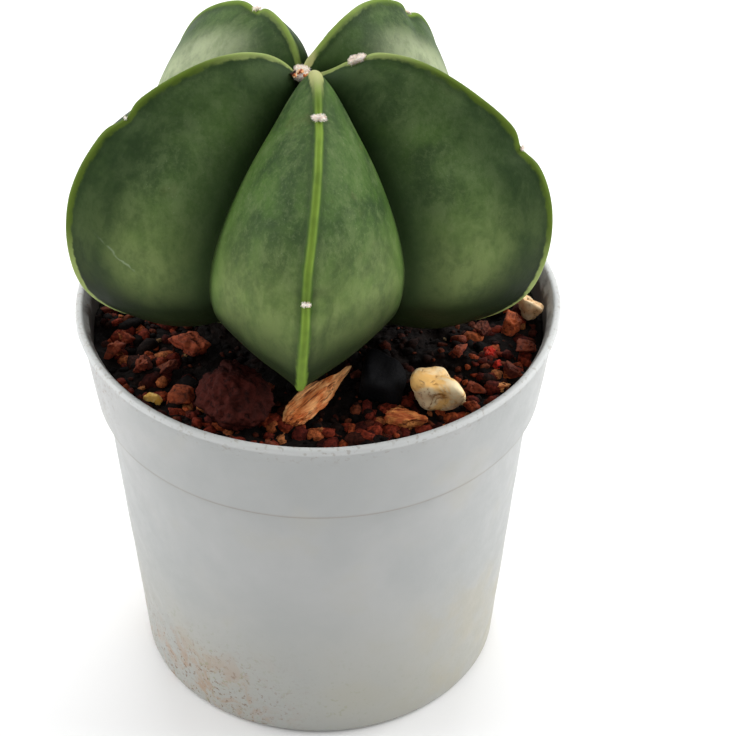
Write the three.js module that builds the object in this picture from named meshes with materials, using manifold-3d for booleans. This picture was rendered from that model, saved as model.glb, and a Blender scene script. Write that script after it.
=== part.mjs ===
// A bishop's cap cactus in a small tapered nursery pot.
// Millimetres, +Z up. The origin is the centre of the pot's foot, on the surface it stands on.
// The rib named front faces -Y.
import * as THREE from "three";
import { mergeVertices } from "three/addons/utils/BufferGeometryUtils.js";
import Module from "manifold-3d";

const wasm = await Module();
wasm.setup();

// Driving dimensions ---------------------------------------------------------------------------

// Clearance between pieces that touch in the real thing.
const GAP = 0.3;

const POT = {
  height: 48.5,
  rimRadius: 27.5,
  rimWidth: 0.85,
  lipHeight: 0.8,
  edge: 0.2,
  collarTopRadius: 27.0,
  collarFootRadius: 25.65,
  collarFootHeight: 37.4,
  bodyTopRadius: 24.6,
  footRadius: 21.2,
  footRound: 0.9,
  footRingWidth: 2.6,
  footRecess: 0.6,
  wall: 0.85,
  floor: 1.1,
  drainHoles: 6,
  drainHoleRadius: 2.2,
  drainCircleRadius: 12.5,
  sides: 72,
};

const SOIL = {
  level: 44.4,
  undulation: 0.45,
  pocketRadius: 8.5,
  pocketDepth: 6.9,
  pocketTaper: 0.6,
  bedMargin: 1.3,
  rings: 11,
};

// Lengths along the stem run from 0 at the crown to 1 at the buried foot.
const STEM = {
  footX: -2.35,
  footY: -1.0,
  footDepth: 1.5,
  leanAboutX: -2.1,
  leanAboutY: 3.1,
  rings: 30,
  stepsPerFace: 4,
  heartHeight: 19,
  notchDepth: 0.9,
  notchLength: 0.022,
  buriedDepth: 4.8,
};

// The faces are full from the crown to the waist: bulge as a share of a face's breadth.
const FACE = { bulgeOver: 0.1, waist: 0.45 };

// The crests meet a little to one side of the stem's axis, and some dip just before they meet.
const CROWN = { x: -1.1, y: 0.3, spread: 0.09, dipAt: 0.077, dipSpread: 0.05 };

// Each rib's heading in degrees, the turn it takes on its way down, its reach and rise against the
// mean rib, the reach of the furrow after it, the bulge of its faces under the waist, how far its
// crest dips by the crown, and the places of its areoles along the crest.
const RIBS = [
  {
    name: "front", heading: -87.7, turn: -2.6, reach: 0.985, rise: 1,
    cut: 0.94, under: -0.13, dip: 0.9, areoles: [0.265, 0.49],
  },
  {
    name: "right", heading: -15.9, turn: 0, reach: 1.005, rise: 0.998,
    cut: 1, under: 0.08, dip: 0.9, areoles: [0.14, 0.395],
  },
  {
    name: "back_right", heading: 52.3, turn: 0.6, reach: 0.921, rise: 1.021,
    cut: 1, under: 0.08, dip: 0, areoles: [0.325, 0.54],
  },
  {
    name: "back_left", heading: 124, turn: 2.1, reach: 0.956, rise: 0.985,
    cut: 1, under: 0.08, dip: 0, areoles: [0.24, 0.5],
  },
  {
    name: "left", heading: 200.4, turn: 0, reach: 0.995, rise: 0.99,
    cut: 1, under: 0.08, dip: 0, areoles: [0.355, 0.72],
  },
];
const TURN_START = 0.25;
const TURN_END = 0.5;

// Half outlines of the stem: distance from its axis and height over its foot, crown to foot.
const CREST_OUTLINE = [
  [0, 34.3], [2.4, 36.8], [6, 38.8], [11, 39.0], [18.1, 36.1], [23.4, 31.8], [26.8, 25.6],
  [27.4, 19], [25.5, 12.5], [20.8, 8.2], [14.5, 6.2], [9.2, 4.4], [6.4, 1.2], [5.6, -4.6],
];
const FURROW_OUTLINE = [
  [0, 34.3], [1.7, 34.4], [4, 33.3], [7.2, 32], [11.4, 29.7], [14.7, 26.8], [17.3, 23.2],
  [18.8, 19], [18.2, 14.4], [14.8, 11.4], [10.2, 9.6], [6.8, 7.4], [5.4, 3.2], [4.8, -4.6],
];

// Half sizes of the tufts of wool, how uneven they are and how far the crown's stands over its pit.
const WOOL = {
  tuft: [1, 0.75, 0.5],
  crown: [0.85, 0.9, 0.55],
  tuftUneven: 0.15,
  crownUneven: 0.2,
  crownSeat: 1.1,
};

// Materials ------------------------------------------------------------------------------------

function finish(colour, roughness) {
  return new THREE.MeshStandardMaterial({ color: colour, roughness, metalness: 0 });
}

const FINISH = {
  pot: finish(0xa7acb1, 0.45),
  soil: finish(0x2b1a14, 0.95),
  stem: finish(0x4a6a36, 0.5),
  wool: finish(0xe6dccb, 1.0),
  creamStone: finish(0xe2c592, 0.85),
  tanStone: finish(0xc7a26c, 0.85),
  slate: finish(0x25272b, 0.6),
  peat: finish(0x3b1b15, 0.95),
  bark: finish(0x8c4c28, 0.9),
  lava: finish(0x6b2f22, 0.9),
};

// Helpers --------------------------------------------------------------------------------------

// The same run of numbers between 0 and 1 each time.
function numberStream(seed) {
  let state = seed;
  return () => {
    state = (state * 1664525 + 1013904223) % 4294967296;
    return state / 4294967296;
  };
}

// One closed skin over rings of points, with a single point closing each end.
function closedSkin(firstPole, rings, lastPole) {
  const around = rings[0].length;
  const points = [firstPole, ...rings.flat(), lastPole];
  const last = points.length - 1;
  const faces = [];
  for (let j = 0; j < around; j += 1) {
    const next = (j + 1) % around;
    faces.push(0, 1 + j, 1 + next);
    for (let i = 0; i < rings.length - 1; i += 1) {
      const a = 1 + i * around;
      const b = a + around;
      faces.push(a + j, b + j, b + next, a + j, b + next, a + next);
    }
    const end = 1 + (rings.length - 1) * around;
    faces.push(end + j, last, end + next);
  }
  const geometry = new THREE.BufferGeometry().setFromPoints(points);
  geometry.setIndex(faces);
  geometry.computeVertexNormals();
  return geometry;
}

function solidFrom(geometry) {
  const bare = geometry.clone();
  bare.deleteAttribute("normal");
  bare.deleteAttribute("uv");
  const merged = mergeVertices(bare, 1e-4);
  return new wasm.Manifold(
    new wasm.Mesh({
      numProp: 3,
      vertProperties: new Float32Array(merged.attributes.position.array),
      triVerts: new Uint32Array(merged.index.array),
    }),
  );
}

function geometryFrom(solid) {
  const { vertProperties, triVerts } = solid.getMesh();
  const geometry = new THREE.BufferGeometry();
  geometry.setAttribute("position", new THREE.BufferAttribute(vertProperties, 3));
  geometry.setIndex(new THREE.BufferAttribute(triVerts, 1));
  return geometry;
}

function namedMesh(name, geometry, material) {
  const mesh = new THREE.Mesh(geometry, material);
  mesh.name = name;
  return mesh;
}

// Pot ------------------------------------------------------------------------------------------

// Inside radius of the pot's wall at a height, below and above the step of its collar.
function potInsideRadius(height) {
  if (height > POT.collarFootHeight + POT.wall) {
    const rise = (height - POT.collarFootHeight) / (POT.height - POT.collarFootHeight);
    return THREE.MathUtils.lerp(POT.collarFootRadius, POT.collarTopRadius, rise) - POT.wall;
  }
  const rise = height / POT.collarFootHeight;
  return THREE.MathUtils.lerp(POT.footRadius, POT.bodyTopRadius, rise) - POT.wall;
}

function potProfile() {
  const lipFoot = POT.height - POT.lipHeight;
  const ringInside = POT.footRadius - POT.footRingWidth;
  const outline = [[0, POT.footRecess], [ringInside - POT.footRecess, POT.footRecess], [ringInside, 0]];
  for (const turn of [0, 30, 60, 90]) {
    const angle = THREE.MathUtils.degToRad(turn);
    outline.push([
      POT.footRadius - POT.footRound * (1 - Math.sin(angle)),
      POT.footRound * (1 - Math.cos(angle)),
    ]);
  }
  const stepInside = POT.collarFootHeight + POT.wall;
  outline.push(
    [POT.bodyTopRadius, POT.collarFootHeight],
    [POT.collarFootRadius, POT.collarFootHeight],
    [POT.collarTopRadius, lipFoot - POT.edge],
    [POT.rimRadius - POT.edge / 2, lipFoot],
    [POT.rimRadius, lipFoot + POT.edge],
    [POT.rimRadius, POT.height - POT.edge],
    [POT.rimRadius - POT.edge, POT.height],
    [POT.rimRadius - POT.rimWidth, POT.height],
    [potInsideRadius(lipFoot), lipFoot - POT.edge],
    [potInsideRadius(stepInside + POT.edge), stepInside + POT.edge],
    [potInsideRadius(stepInside), stepInside],
    [POT.footRadius - POT.wall, POT.floor + POT.footRound],
    [POT.footRadius - POT.wall - POT.footRound, POT.floor],
    [0, POT.floor],
  );
  return outline.map(([radius, height]) => new THREE.Vector2(radius, height));
}

function potGeometry() {
  const shell = new THREE.LatheGeometry(potProfile(), POT.sides);
  shell.rotateX(Math.PI / 2);
  let pot = solidFrom(shell);
  for (let i = 0; i < POT.drainHoles; i += 1) {
    const angle = ((i + 0.5) / POT.drainHoles) * 2 * Math.PI;
    const drill = new THREE.CylinderGeometry(POT.drainHoleRadius, POT.drainHoleRadius, 6, 16);
    drill.rotateX(Math.PI / 2);
    drill.translate(POT.drainCircleRadius * Math.cos(angle), POT.drainCircleRadius * Math.sin(angle), 0);
    pot = pot.subtract(solidFrom(drill));
  }
  return geometryFrom(pot);
}

// Stem -----------------------------------------------------------------------------------------

function outlineCurve(outline) {
  return new THREE.CatmullRomCurve3(outline.map(([radius, height]) => new THREE.Vector3(radius, 0, height)));
}

const crestCurve = outlineCurve(CREST_OUTLINE);
const furrowCurve = outlineCurve(FURROW_OUTLINE);

// A point of a half outline, swung to a heading and scaled to a rib's reach and rise.
function swing(curve, along, heading, reach, rise) {
  const { x, z } = curve.getPoint(along);
  const angle = THREE.MathUtils.degToRad(heading);
  const aside = Math.exp(-((along / CROWN.spread) ** 2));
  return new THREE.Vector3(
    x * reach * Math.cos(angle) + aside * CROWN.x,
    x * reach * Math.sin(angle) + aside * CROWN.y,
    z * rise,
  );
}

function crestPoint(rib, along) {
  const heading = rib.heading + rib.turn * THREE.MathUtils.smoothstep(along, TURN_START, TURN_END);
  const point = swing(crestCurve, along, heading, rib.reach, rib.rise);
  point.z -= rib.dip * Math.exp(-(((along - CROWN.dipAt) / CROWN.dipSpread) ** 2));
  return point;
}

// The furrow between a rib and its neighbour runs halfway between them.
function furrowPoint(rib, neighbour, along) {
  const between = THREE.MathUtils.euclideanModulo(neighbour.heading - rib.heading + 180, 360) - 180;
  const cut = between > 0 ? rib.cut : neighbour.cut;
  const reach = (cut * (rib.reach + neighbour.reach)) / 2;
  const rise = (rib.rise + neighbour.rise) / 2;
  return swing(furrowCurve, along, rib.heading + between / 2, reach, rise);
}

// Bulge of a rib's faces at a place along the stem, as a share of their breadth.
function faceBulge(rib, along) {
  const under = THREE.MathUtils.smoothstep(along, FACE.waist, 1);
  return THREE.MathUtils.lerp(FACE.bulgeOver, rib.under, under);
}

// How far the crest dips at its areoles, from 0 to 1.
function notchAt(rib, along) {
  return rib.areoles.reduce(
    (depth, areole) => Math.max(depth, Math.exp(-(((along - areole) / STEM.notchLength) ** 2))),
    0,
  );
}

// The middle of the face, between crest and furrow.
function faceMiddle(rib, neighbour, along) {
  return crestPoint(rib, along).lerp(furrowPoint(rib, neighbour, along), 0.5);
}

// A point of the face between a crest and a furrow: across runs from 0 at the crest to 1.
function facePoint(rib, neighbour, along, across) {
  const crest = crestPoint(rib, along);
  const furrow = furrowPoint(rib, neighbour, along);
  const chord = furrow.clone().sub(crest);
  const step = 0.01;
  const run = faceMiddle(rib, neighbour, along + step).sub(faceMiddle(rib, neighbour, along - step));
  const outward = chord.clone().cross(run).normalize();
  const heart = new THREE.Vector3(0, 0, STEM.heartHeight);
  if (outward.dot(crest.clone().sub(heart)) < 0) {
    outward.negate();
  }
  const swell = faceBulge(rib, along) * chord.length() * Math.sin(Math.PI * across);
  const notch = STEM.notchDepth * notchAt(rib, along) * (1 - across) ** 4;
  const inward = heart.clone().sub(crest).normalize();
  return crest
    .addScaledVector(chord, across)
    .addScaledVector(outward, swell)
    .addScaledVector(inward, notch);
}

function stemRing(along) {
  const ring = [];
  RIBS.forEach((rib, i) => {
    const before = RIBS[(i + RIBS.length - 1) % RIBS.length];
    const after = RIBS[(i + 1) % RIBS.length];
    for (let k = STEM.stepsPerFace; k > 0; k -= 1) {
      ring.push(facePoint(rib, before, along, k / STEM.stepsPerFace));
    }
    for (let k = 0; k < STEM.stepsPerFace; k += 1) {
      ring.push(facePoint(rib, after, along, k / STEM.stepsPerFace));
    }
  });
  return ring;
}

function stemGeometry() {
  const rings = [];
  for (let i = 1; i <= STEM.rings; i += 1) {
    rings.push(stemRing(i / STEM.rings));
  }
  const crown = new THREE.Vector3(CROWN.x, CROWN.y, CREST_OUTLINE[0][1]);
  const foot = new THREE.Vector3(0, 0, -STEM.buriedDepth);
  return closedSkin(crown, rings, foot);
}

// Stones, chips and tufts ----------------------------------------------------------------------

// A lump with the given half sizes and an uneven surface that depends only on its seed.
function lumpGeometry(halfSizes, roughness, seed, detail = 1) {
  const geometry = new THREE.IcosahedronGeometry(1, detail);
  const places = geometry.attributes.position;
  const point = new THREE.Vector3();
  for (let i = 0; i < places.count; i += 1) {
    point.fromBufferAttribute(places, i);
    const wave =
      Math.sin(2.3 * point.x + 1.7 * seed) * Math.cos(2.9 * point.y - 0.9 * seed) +
      Math.sin(3.1 * point.z + 2.1 * seed + 1.3 * point.x);
    point.multiplyScalar(1 + (roughness * wave) / 4);
    places.setXYZ(i, point.x * halfSizes[0], point.y * halfSizes[1], point.z * halfSizes[2]);
  }
  return geometry;
}

// A splinter: a long leaf-shaped outline of even thickness.
function chipGeometry(length, width, thickness) {
  const outline = new THREE.Shape();
  outline.moveTo(-0.5 * length, -0.08 * width);
  outline.lineTo(-0.28 * length, -0.5 * width);
  outline.lineTo(0.02 * length, -0.4 * width);
  outline.lineTo(0.16 * length, -0.14 * width);
  outline.lineTo(0.5 * length, 0.02 * width);
  outline.lineTo(0.47 * length, 0.2 * width);
  outline.lineTo(0.1 * length, 0.26 * width);
  outline.lineTo(-0.14 * length, 0.5 * width);
  outline.lineTo(-0.4 * length, 0.3 * width);
  outline.closePath();
  const geometry = new THREE.ExtrudeGeometry(outline, { depth: thickness, bevelEnabled: false });
  geometry.translate(0, 0, -thickness / 2);
  return geometry;
}

const STONE_UNEVEN = 0.3;
const BEDDED_SHARE = 0.5;

// Stones and chips that stand out: place, half sizes, turn about +Z in degrees and finish.
const STONES = [
  { name: "cream_pebble", at: [13, -13.9], half: [3, 3, 2.8], turn: 20, of: "creamStone" },
  { name: "tan_pebble", at: [24.3, 0.9], half: [1.2, 2.1, 1.7], turn: 24, of: "tanStone" },
  { name: "slate_stone", at: [6.9, -11.7], half: [2.8, 3.5, 3], turn: -10, of: "slate" },
  { name: "peat_lump", at: [-9.1, -15.8], half: [4, 4.7, 3.9], turn: 25, of: "peat" },
  { name: "bark_flake", at: [9.5, -18], half: [2.4, 1.3, 1.1], turn: -10, of: "bark" },
  { name: "brown_nugget", at: [-14.6, -4.9], half: [2.6, 1.5, 1.4], turn: -25, of: "bark" },
  { name: "red_chip", at: [-15.2, -13.1], half: [1.9, 1.2, 1.2], turn: 50, of: "lava" },
  { name: "straw_grain", at: [-18.4, -13.2], half: [1.3, 1.2, 1], turn: 0, of: "tanStone" },
  { name: "orange_chip", at: [20.1, -11.8], half: [1.4, 0.7, 0.6], turn: 15, of: "bark" },
  { name: "red_grain", at: [19.3, -6], half: [0.85, 0.8, 0.8], turn: 0, of: "lava" },
  { name: "red_crumb", at: [19.9, -8.1], half: [0.65, 0.7, 0.6], turn: 0, of: "lava" },
  { name: "lava_left", at: [-23, -5], half: [1.4, 1.2, 1.2], turn: 20, of: "lava" },
  { name: "lava_pair", at: [-21.6, -2.3], half: [1, 0.9, 0.9], turn: 30, of: "lava" },
  { name: "lava_rim", at: [-24, 2.3], half: [1, 0.9, 0.8], turn: 60, of: "lava" },
  { name: "lava_long", at: [-19.6, -7.5], half: [1.9, 1.1, 1.1], turn: 75, of: "lava" },
  { name: "lava_middle", at: [-16.9, -8.3], half: [1.3, 1.1, 1.1], turn: 50, of: "lava" },
  { name: "lava_right", at: [21.9, -1.3], half: [1.3, 1.4, 1.3], turn: 0, of: "lava" },
  { name: "lava_shade", at: [18.6, -2.3], half: [1.1, 1.2, 0.9], turn: 15, of: "lava" },
  { name: "lava_edge", at: [23.4, -5], half: [1.2, 1.2, 1.1], turn: 0, of: "lava" },
  { name: "lava_flat", at: [21.8, -9.4], half: [1.3, 1.1, 0.8], turn: -40, of: "lava" },
  { name: "lava_inner", at: [15.6, -6.1], half: [1.2, 1.1, 0.8], turn: 40, of: "lava" },
  { name: "lava_corner", at: [17.5, -11.7], half: [1.2, 1.1, 1], turn: 70, of: "lava" },
  { name: "lava_front", at: [16.8, -15.6], half: [1.1, 0.9, 0.8], turn: -35, of: "lava" },
];

const BARK_CHIP = {
  at: [-0.3, -15.2],
  rise: 1.7,
  length: 10.8,
  width: 3.1,
  thickness: 1.3,
  turn: 43,
  tilt: 8,
};

// The loose granules between the larger stones.
const GRANULES = { count: 16, innerRadius: 14, outerRadius: 24, smallest: 1.0, largest: 1.8 };

function baseSoilHeight(x, y) {
  const wave = Math.sin(0.55 * x + 1.2) * Math.cos(0.48 * y - 0.4) + 0.6 * Math.sin(0.9 * y + 0.5 * x);
  return SOIL.level + SOIL.undulation * wave;
}

// Sits a stone in the soil, its centre half of its half height over the surface.
function bedded(stone) {
  const [x, y] = stone.at;
  return { ...stone, centre: new THREE.Vector3(x, y, baseSoilHeight(x, y) + BEDDED_SHARE * stone.half[2]) };
}

function granules(taken) {
  const draw = numberStream(11);
  const found = [];
  for (let tries = 0; found.length < GRANULES.count && tries < 4000; tries += 1) {
    const angle = draw() * 2 * Math.PI;
    const radius = THREE.MathUtils.lerp(GRANULES.innerRadius, GRANULES.outerRadius, Math.sqrt(draw()));
    const size = THREE.MathUtils.lerp(GRANULES.smallest, GRANULES.largest, draw());
    const at = [radius * Math.cos(angle), radius * Math.sin(angle)];
    const clear = [...taken, ...found].every(
      (other) => Math.hypot(at[0] - other.at[0], at[1] - other.at[1]) > size + Math.max(...other.half) + GAP,
    );
    if (clear) {
      const number = String(found.length + 1).padStart(2, "0");
      const turn = 360 * draw();
      found.push({ name: `granule_${number}`, at, half: [size, 0.8 * size, 0.7 * size], turn, of: "lava" });
    }
  }
  return found;
}

const chipFootprint = { at: BARK_CHIP.at, half: [BARK_CHIP.length / 2, BARK_CHIP.width / 2] };
const beddedStones = [...STONES, ...granules([...STONES, chipFootprint])].map(bedded);

function stoneMesh(stone, seed) {
  const detail = stone.half[0] > 2 ? 2 : 1;
  const mesh = namedMesh(stone.name, lumpGeometry(stone.half, STONE_UNEVEN, seed, detail), FINISH[stone.of]);
  mesh.position.copy(stone.centre);
  mesh.rotation.z = THREE.MathUtils.degToRad(stone.turn);
  return mesh;
}

function barkChipMesh() {
  const mesh = namedMesh(
    "bark_chip",
    chipGeometry(BARK_CHIP.length, BARK_CHIP.width, BARK_CHIP.thickness),
    FINISH.bark,
  );
  const [x, y] = BARK_CHIP.at;
  mesh.position.set(x, y, SOIL.level + BARK_CHIP.rise);
  const tilt = THREE.MathUtils.degToRad(BARK_CHIP.tilt);
  const turn = THREE.MathUtils.degToRad(BARK_CHIP.turn);
  mesh.rotation.set(0, -tilt, turn, "ZYX");
  return mesh;
}

// Soil -----------------------------------------------------------------------------------------

// Height of the soil's surface, pressed down under each stone so that the stone has a bed.
function soilHeight(x, y) {
  return beddedStones.reduce((height, { centre, half }) => {
    const reach = Math.max(half[0], half[1]) + SOIL.bedMargin;
    const share = Math.hypot(x - centre.x, y - centre.y) / reach;
    if (share >= 1) {
      return height;
    }
    return Math.min(height, centre.z - half[2] * Math.sqrt(1 - share ** 2) - GAP);
  }, baseSoilHeight(x, y));
}

function ringAt(centreX, centreY, radius, heightAt) {
  const ring = [];
  for (let j = 0; j < POT.sides; j += 1) {
    const angle = (j / POT.sides) * 2 * Math.PI;
    const x = centreX + radius * Math.cos(angle);
    const y = centreY + radius * Math.sin(angle);
    ring.push(new THREE.Vector3(x, y, heightAt(x, y)));
  }
  return ring;
}

function soilGeometry() {
  const flat = (height) => () => height;
  const pocketFloor = SOIL.level - SOIL.pocketDepth;
  const outside = potInsideRadius(SOIL.level) - GAP;
  const rings = [ringAt(STEM.footX, STEM.footY, SOIL.pocketRadius - SOIL.pocketTaper, flat(pocketFloor))];
  for (let i = 0; i <= SOIL.rings; i += 1) {
    const share = i / SOIL.rings;
    const centreX = STEM.footX * (1 - share);
    const centreY = STEM.footY * (1 - share);
    const radius = THREE.MathUtils.lerp(SOIL.pocketRadius, outside, share);
    rings.push(ringAt(centreX, centreY, radius, soilHeight));
  }
  const stepInside = POT.collarFootHeight + POT.wall;
  const bottom = POT.floor + GAP;
  const sides = [
    [potInsideRadius(stepInside + POT.edge) - GAP, stepInside + GAP + POT.edge],
    [potInsideRadius(stepInside) - GAP, stepInside + GAP],
    [POT.footRadius - POT.wall - GAP, bottom + POT.footRound + GAP],
    [POT.footRadius - POT.wall - POT.footRound - GAP, bottom],
  ];
  for (const [radius, height] of sides) {
    rings.push(ringAt(0, 0, radius, flat(height)));
  }
  const pocketPole = new THREE.Vector3(STEM.footX, STEM.footY, pocketFloor);
  return closedSkin(pocketPole, rings, new THREE.Vector3(0, 0, bottom));
}

// Wool -----------------------------------------------------------------------------------------

// A tuft sits in the notch of its areole, turned to face out of the crest.
function tuftMesh(rib, number, along) {
  const seat = facePoint(rib, RIBS[0] === rib ? RIBS[1] : RIBS[0], along, 0);
  const ahead = crestPoint(rib, along + 0.02);
  const behind = crestPoint(rib, along - 0.02);
  const alongCrest = ahead.sub(behind).normalize();
  const angle = THREE.MathUtils.degToRad(rib.heading);
  const sideways = new THREE.Vector3(-Math.sin(angle), Math.cos(angle), 0);
  const outward = sideways.clone().cross(alongCrest).negate().normalize();
  const mesh = namedMesh(
    `areole_${rib.name}_${number}`,
    lumpGeometry(WOOL.tuft, WOOL.tuftUneven, number + rib.heading),
    FINISH.wool,
  );
  mesh.quaternion.setFromRotationMatrix(
    new THREE.Matrix4().makeBasis(alongCrest, outward.clone().cross(alongCrest), outward),
  );
  mesh.position.copy(seat).addScaledVector(outward, WOOL.tuft[2] + GAP);
  return mesh;
}

function crownWoolMesh() {
  const mesh = namedMesh("crown_wool", lumpGeometry(WOOL.crown, WOOL.crownUneven, 3), FINISH.wool);
  mesh.position.set(CROWN.x, CROWN.y, CREST_OUTLINE[0][1] + WOOL.crown[2] + WOOL.crownSeat);
  return mesh;
}

// Assembly -------------------------------------------------------------------------------------

const plant = new THREE.Group();
plant.position.set(STEM.footX, STEM.footY, SOIL.level - STEM.footDepth);
plant.rotation.set(
  THREE.MathUtils.degToRad(STEM.leanAboutX),
  THREE.MathUtils.degToRad(STEM.leanAboutY),
  0,
);
plant.add(namedMesh("cactus_stem", stemGeometry(), FINISH.stem));
plant.add(crownWoolMesh());
for (const rib of RIBS) {
  rib.areoles.forEach((along, i) => plant.add(tuftMesh(rib, i + 1, along)));
}

const pottedCactus = new THREE.Group();
pottedCactus.add(namedMesh("pot", potGeometry(), FINISH.pot));
pottedCactus.add(namedMesh("soil", soilGeometry(), FINISH.soil));
pottedCactus.add(plant);
pottedCactus.add(barkChipMesh());
beddedStones.forEach((stone, i) => pottedCactus.add(stoneMesh(stone, i + 1)));

export default pottedCactus;
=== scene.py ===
"""A potted bishop's cap cactus: its detailed model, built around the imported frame.

A young cactus with five broad ribs stands in a small grey nursery pot of dark peat and grit.
Sizes in this file are millimetres in the frame's own axes, and MM turns them into metres where a
mesh is made. The rib named front faces -Y.
"""
import logging
import math
from collections.abc import Iterable
from dataclasses import dataclass, field
from enum import Enum
from functools import partial, reduce

import bmesh
import bpy
import numpy as np
from mathutils import Matrix, Vector, noise


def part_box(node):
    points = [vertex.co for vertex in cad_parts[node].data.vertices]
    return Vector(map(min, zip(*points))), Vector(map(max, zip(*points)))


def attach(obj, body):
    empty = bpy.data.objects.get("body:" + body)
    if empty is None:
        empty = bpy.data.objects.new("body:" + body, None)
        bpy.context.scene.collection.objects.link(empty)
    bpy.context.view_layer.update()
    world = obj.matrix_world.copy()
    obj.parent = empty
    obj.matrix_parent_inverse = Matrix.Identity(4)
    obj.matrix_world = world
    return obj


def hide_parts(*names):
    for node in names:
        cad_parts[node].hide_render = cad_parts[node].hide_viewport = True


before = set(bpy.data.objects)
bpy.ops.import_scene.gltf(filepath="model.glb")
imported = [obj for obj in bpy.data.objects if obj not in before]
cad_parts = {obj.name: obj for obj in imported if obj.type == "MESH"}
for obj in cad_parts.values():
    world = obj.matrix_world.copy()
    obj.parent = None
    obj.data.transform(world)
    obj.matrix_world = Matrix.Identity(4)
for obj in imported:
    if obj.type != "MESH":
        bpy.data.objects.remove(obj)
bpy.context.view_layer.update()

MM = 0.001
PER_MM = 1000.0
BODY = "root"
NOISE_FALL = 0.9
NOISE_GAP = 2.1
NOISE_SHIFT = (7.31, 3.17, 5.73)

Array = np.ndarray
Faces = list[tuple[int, ...]]
Outline = tuple[tuple[float, float], ...]
Triple = tuple[float, float, float]
Piece = bpy.types.Object
Material = bpy.types.Material
Tree = bpy.types.NodeTree
Node = bpy.types.Node
Socket = bpy.types.NodeSocket
Value = Socket | float
Colour = Socket | str
Stops = tuple[tuple[float, str], ...]

log = logging.getLogger("cactus")


# Numbers ------------------------------


def paint(code: str) -> tuple[float, float, float, float]:
    """Turn a screen colour into the linear colour that a shader reads.

    Args:
        code: Six hexadecimal digits, red first.

    Returns:
        Linear red, green and blue, and an alpha of 1.
    """
    parts = [int(code[i : i + 2], 16) / 255 for i in (0, 2, 4)]
    linear = [p / 12.92 if p <= 0.04045 else ((p + 0.055) / 1.055) ** 2.4 for p in parts]
    return (linear[0], linear[1], linear[2], 1.0)


def smooth_step(low: float, high: float, value: Array) -> Array:
    """Rise smoothly from 0 at low to 1 at high.

    Args:
        low: Value where the rise starts.
        high: Value where it ends.
        value: Values to look up.

    Returns:
        The eased values, from 0 to 1.
    """
    part = np.clip((value - low) / (high - low), 0.0, 1.0)
    return part * part * (3 - 2 * part)


def unit(vectors: Array) -> Array:
    """Scale vectors to a length of 1."""
    return vectors / np.maximum(np.linalg.norm(vectors, axis=-1, keepdims=True), 1e-9)


def turned(points: Array, turn: float, tilt: float = 0.0) -> Array:
    """Tilt points about Y, then turn them about Z.

    Args:
        points: Rows of x, y, z.
        turn: Turn about +Z in degrees.
        tilt: Lift of the +X end in degrees.

    Returns:
        The moved points.
    """
    about_y = Matrix.Rotation(math.radians(-tilt), 3, "Y")
    about_z = Matrix.Rotation(math.radians(turn), 3, "Z")
    return points @ np.array(about_z @ about_y).T


def rough(points: Array, size: float, octaves: int, seed: float) -> Array:
    """Look up fractal noise at points.

    Args:
        points: Rows of x, y, z.
        size: Width of the broadest bumps, in the points' unit.
        octaves: Number of finer layers.
        seed: Shifts the pattern, so that pieces differ.

    Returns:
        Values from about -1 to 1.
    """
    shift = Vector([seed * step for step in NOISE_SHIFT])
    scaled = points / size
    looks = (noise.fractal(Vector(p) + shift, NOISE_FALL, NOISE_GAP, octaves) for p in scaled)
    return np.array(list(looks))


def node_box(node: str) -> tuple[Array, Array]:
    """Give a node's lowest and highest corner in millimetres."""
    low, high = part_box(node)
    return np.array(low) * PER_MM, np.array(high) * PER_MM


def node_centre(node: str) -> Array:
    """Give the middle of a node's box in millimetres."""
    low, high = node_box(node)
    return (low + high) / 2


def fitted(points: Array, node: str) -> Array:
    """Stretch points so that they fill a node's box.

    Args:
        points: Rows of x, y, z in any unit.
        node: The node whose box they fill.

    Returns:
        The points in millimetres, in place.
    """
    low, high = node_box(node)
    span = points.max(0) - points.min(0)
    return low + (points - points.min(0)) / span * (high - low)


def pushed(directions: Array, amounts: Array) -> Array:
    """Scale the direction of each row by the amounts for its places."""
    return directions[:, None] * amounts[:, :, None]


def curve_through(outline: Array, along: Array) -> Array:
    """Follow a smooth centripetal curve through a list of points.

    Args:
        outline: Points that the curve passes through.
        along: Places on it, from 0 at the first point to 1 at the last.

    Returns:
        One point for each place.
    """
    padded = np.vstack([2 * outline[0] - outline[1], outline, 2 * outline[-1] - outline[-2]])
    place = np.clip(along, 0, 1) * (len(outline) - 1)
    index = np.minimum(place.astype(int), len(outline) - 2)
    part = (place - index)[:, None]
    p0, p1, p2, p3 = (padded[index + k] for k in range(4))
    steps = ((p0, p1), (p1, p2), (p2, p3))
    d0, d1, d2 = (np.sqrt(np.linalg.norm(b - a, axis=1, keepdims=True)) for a, b in steps)
    leave = ((p1 - p0) / d0 - (p2 - p0) / (d0 + d1) + (p2 - p1) / d1) * d1
    arrive = ((p2 - p1) / d1 - (p3 - p1) / (d1 + d2) + (p3 - p2) / d2) * d1
    cubic = 2 * (p1 - p2) + leave + arrive
    square = 3 * (p2 - p1) - 2 * leave - arrive
    return p1 + leave * part + square * part**2 + cubic * part**3


# Meshes -------------------------------


def band_faces(rows: int, around: int, first: int = 0) -> Faces:
    """Join rows of points into a closed band.

    Args:
        rows: Number of rows.
        around: Points in each row.
        first: Number of the first row's first point.

    Returns:
        The band's four-sided faces, wound so that rows that climb face outwards.
    """
    faces = []
    for i in range(rows - 1):
        low = first + i * around
        for j in range(around):
            k = (j + 1) % around
            faces.append((low + j, low + k, low + around + k, low + around + j))
    return faces


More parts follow.
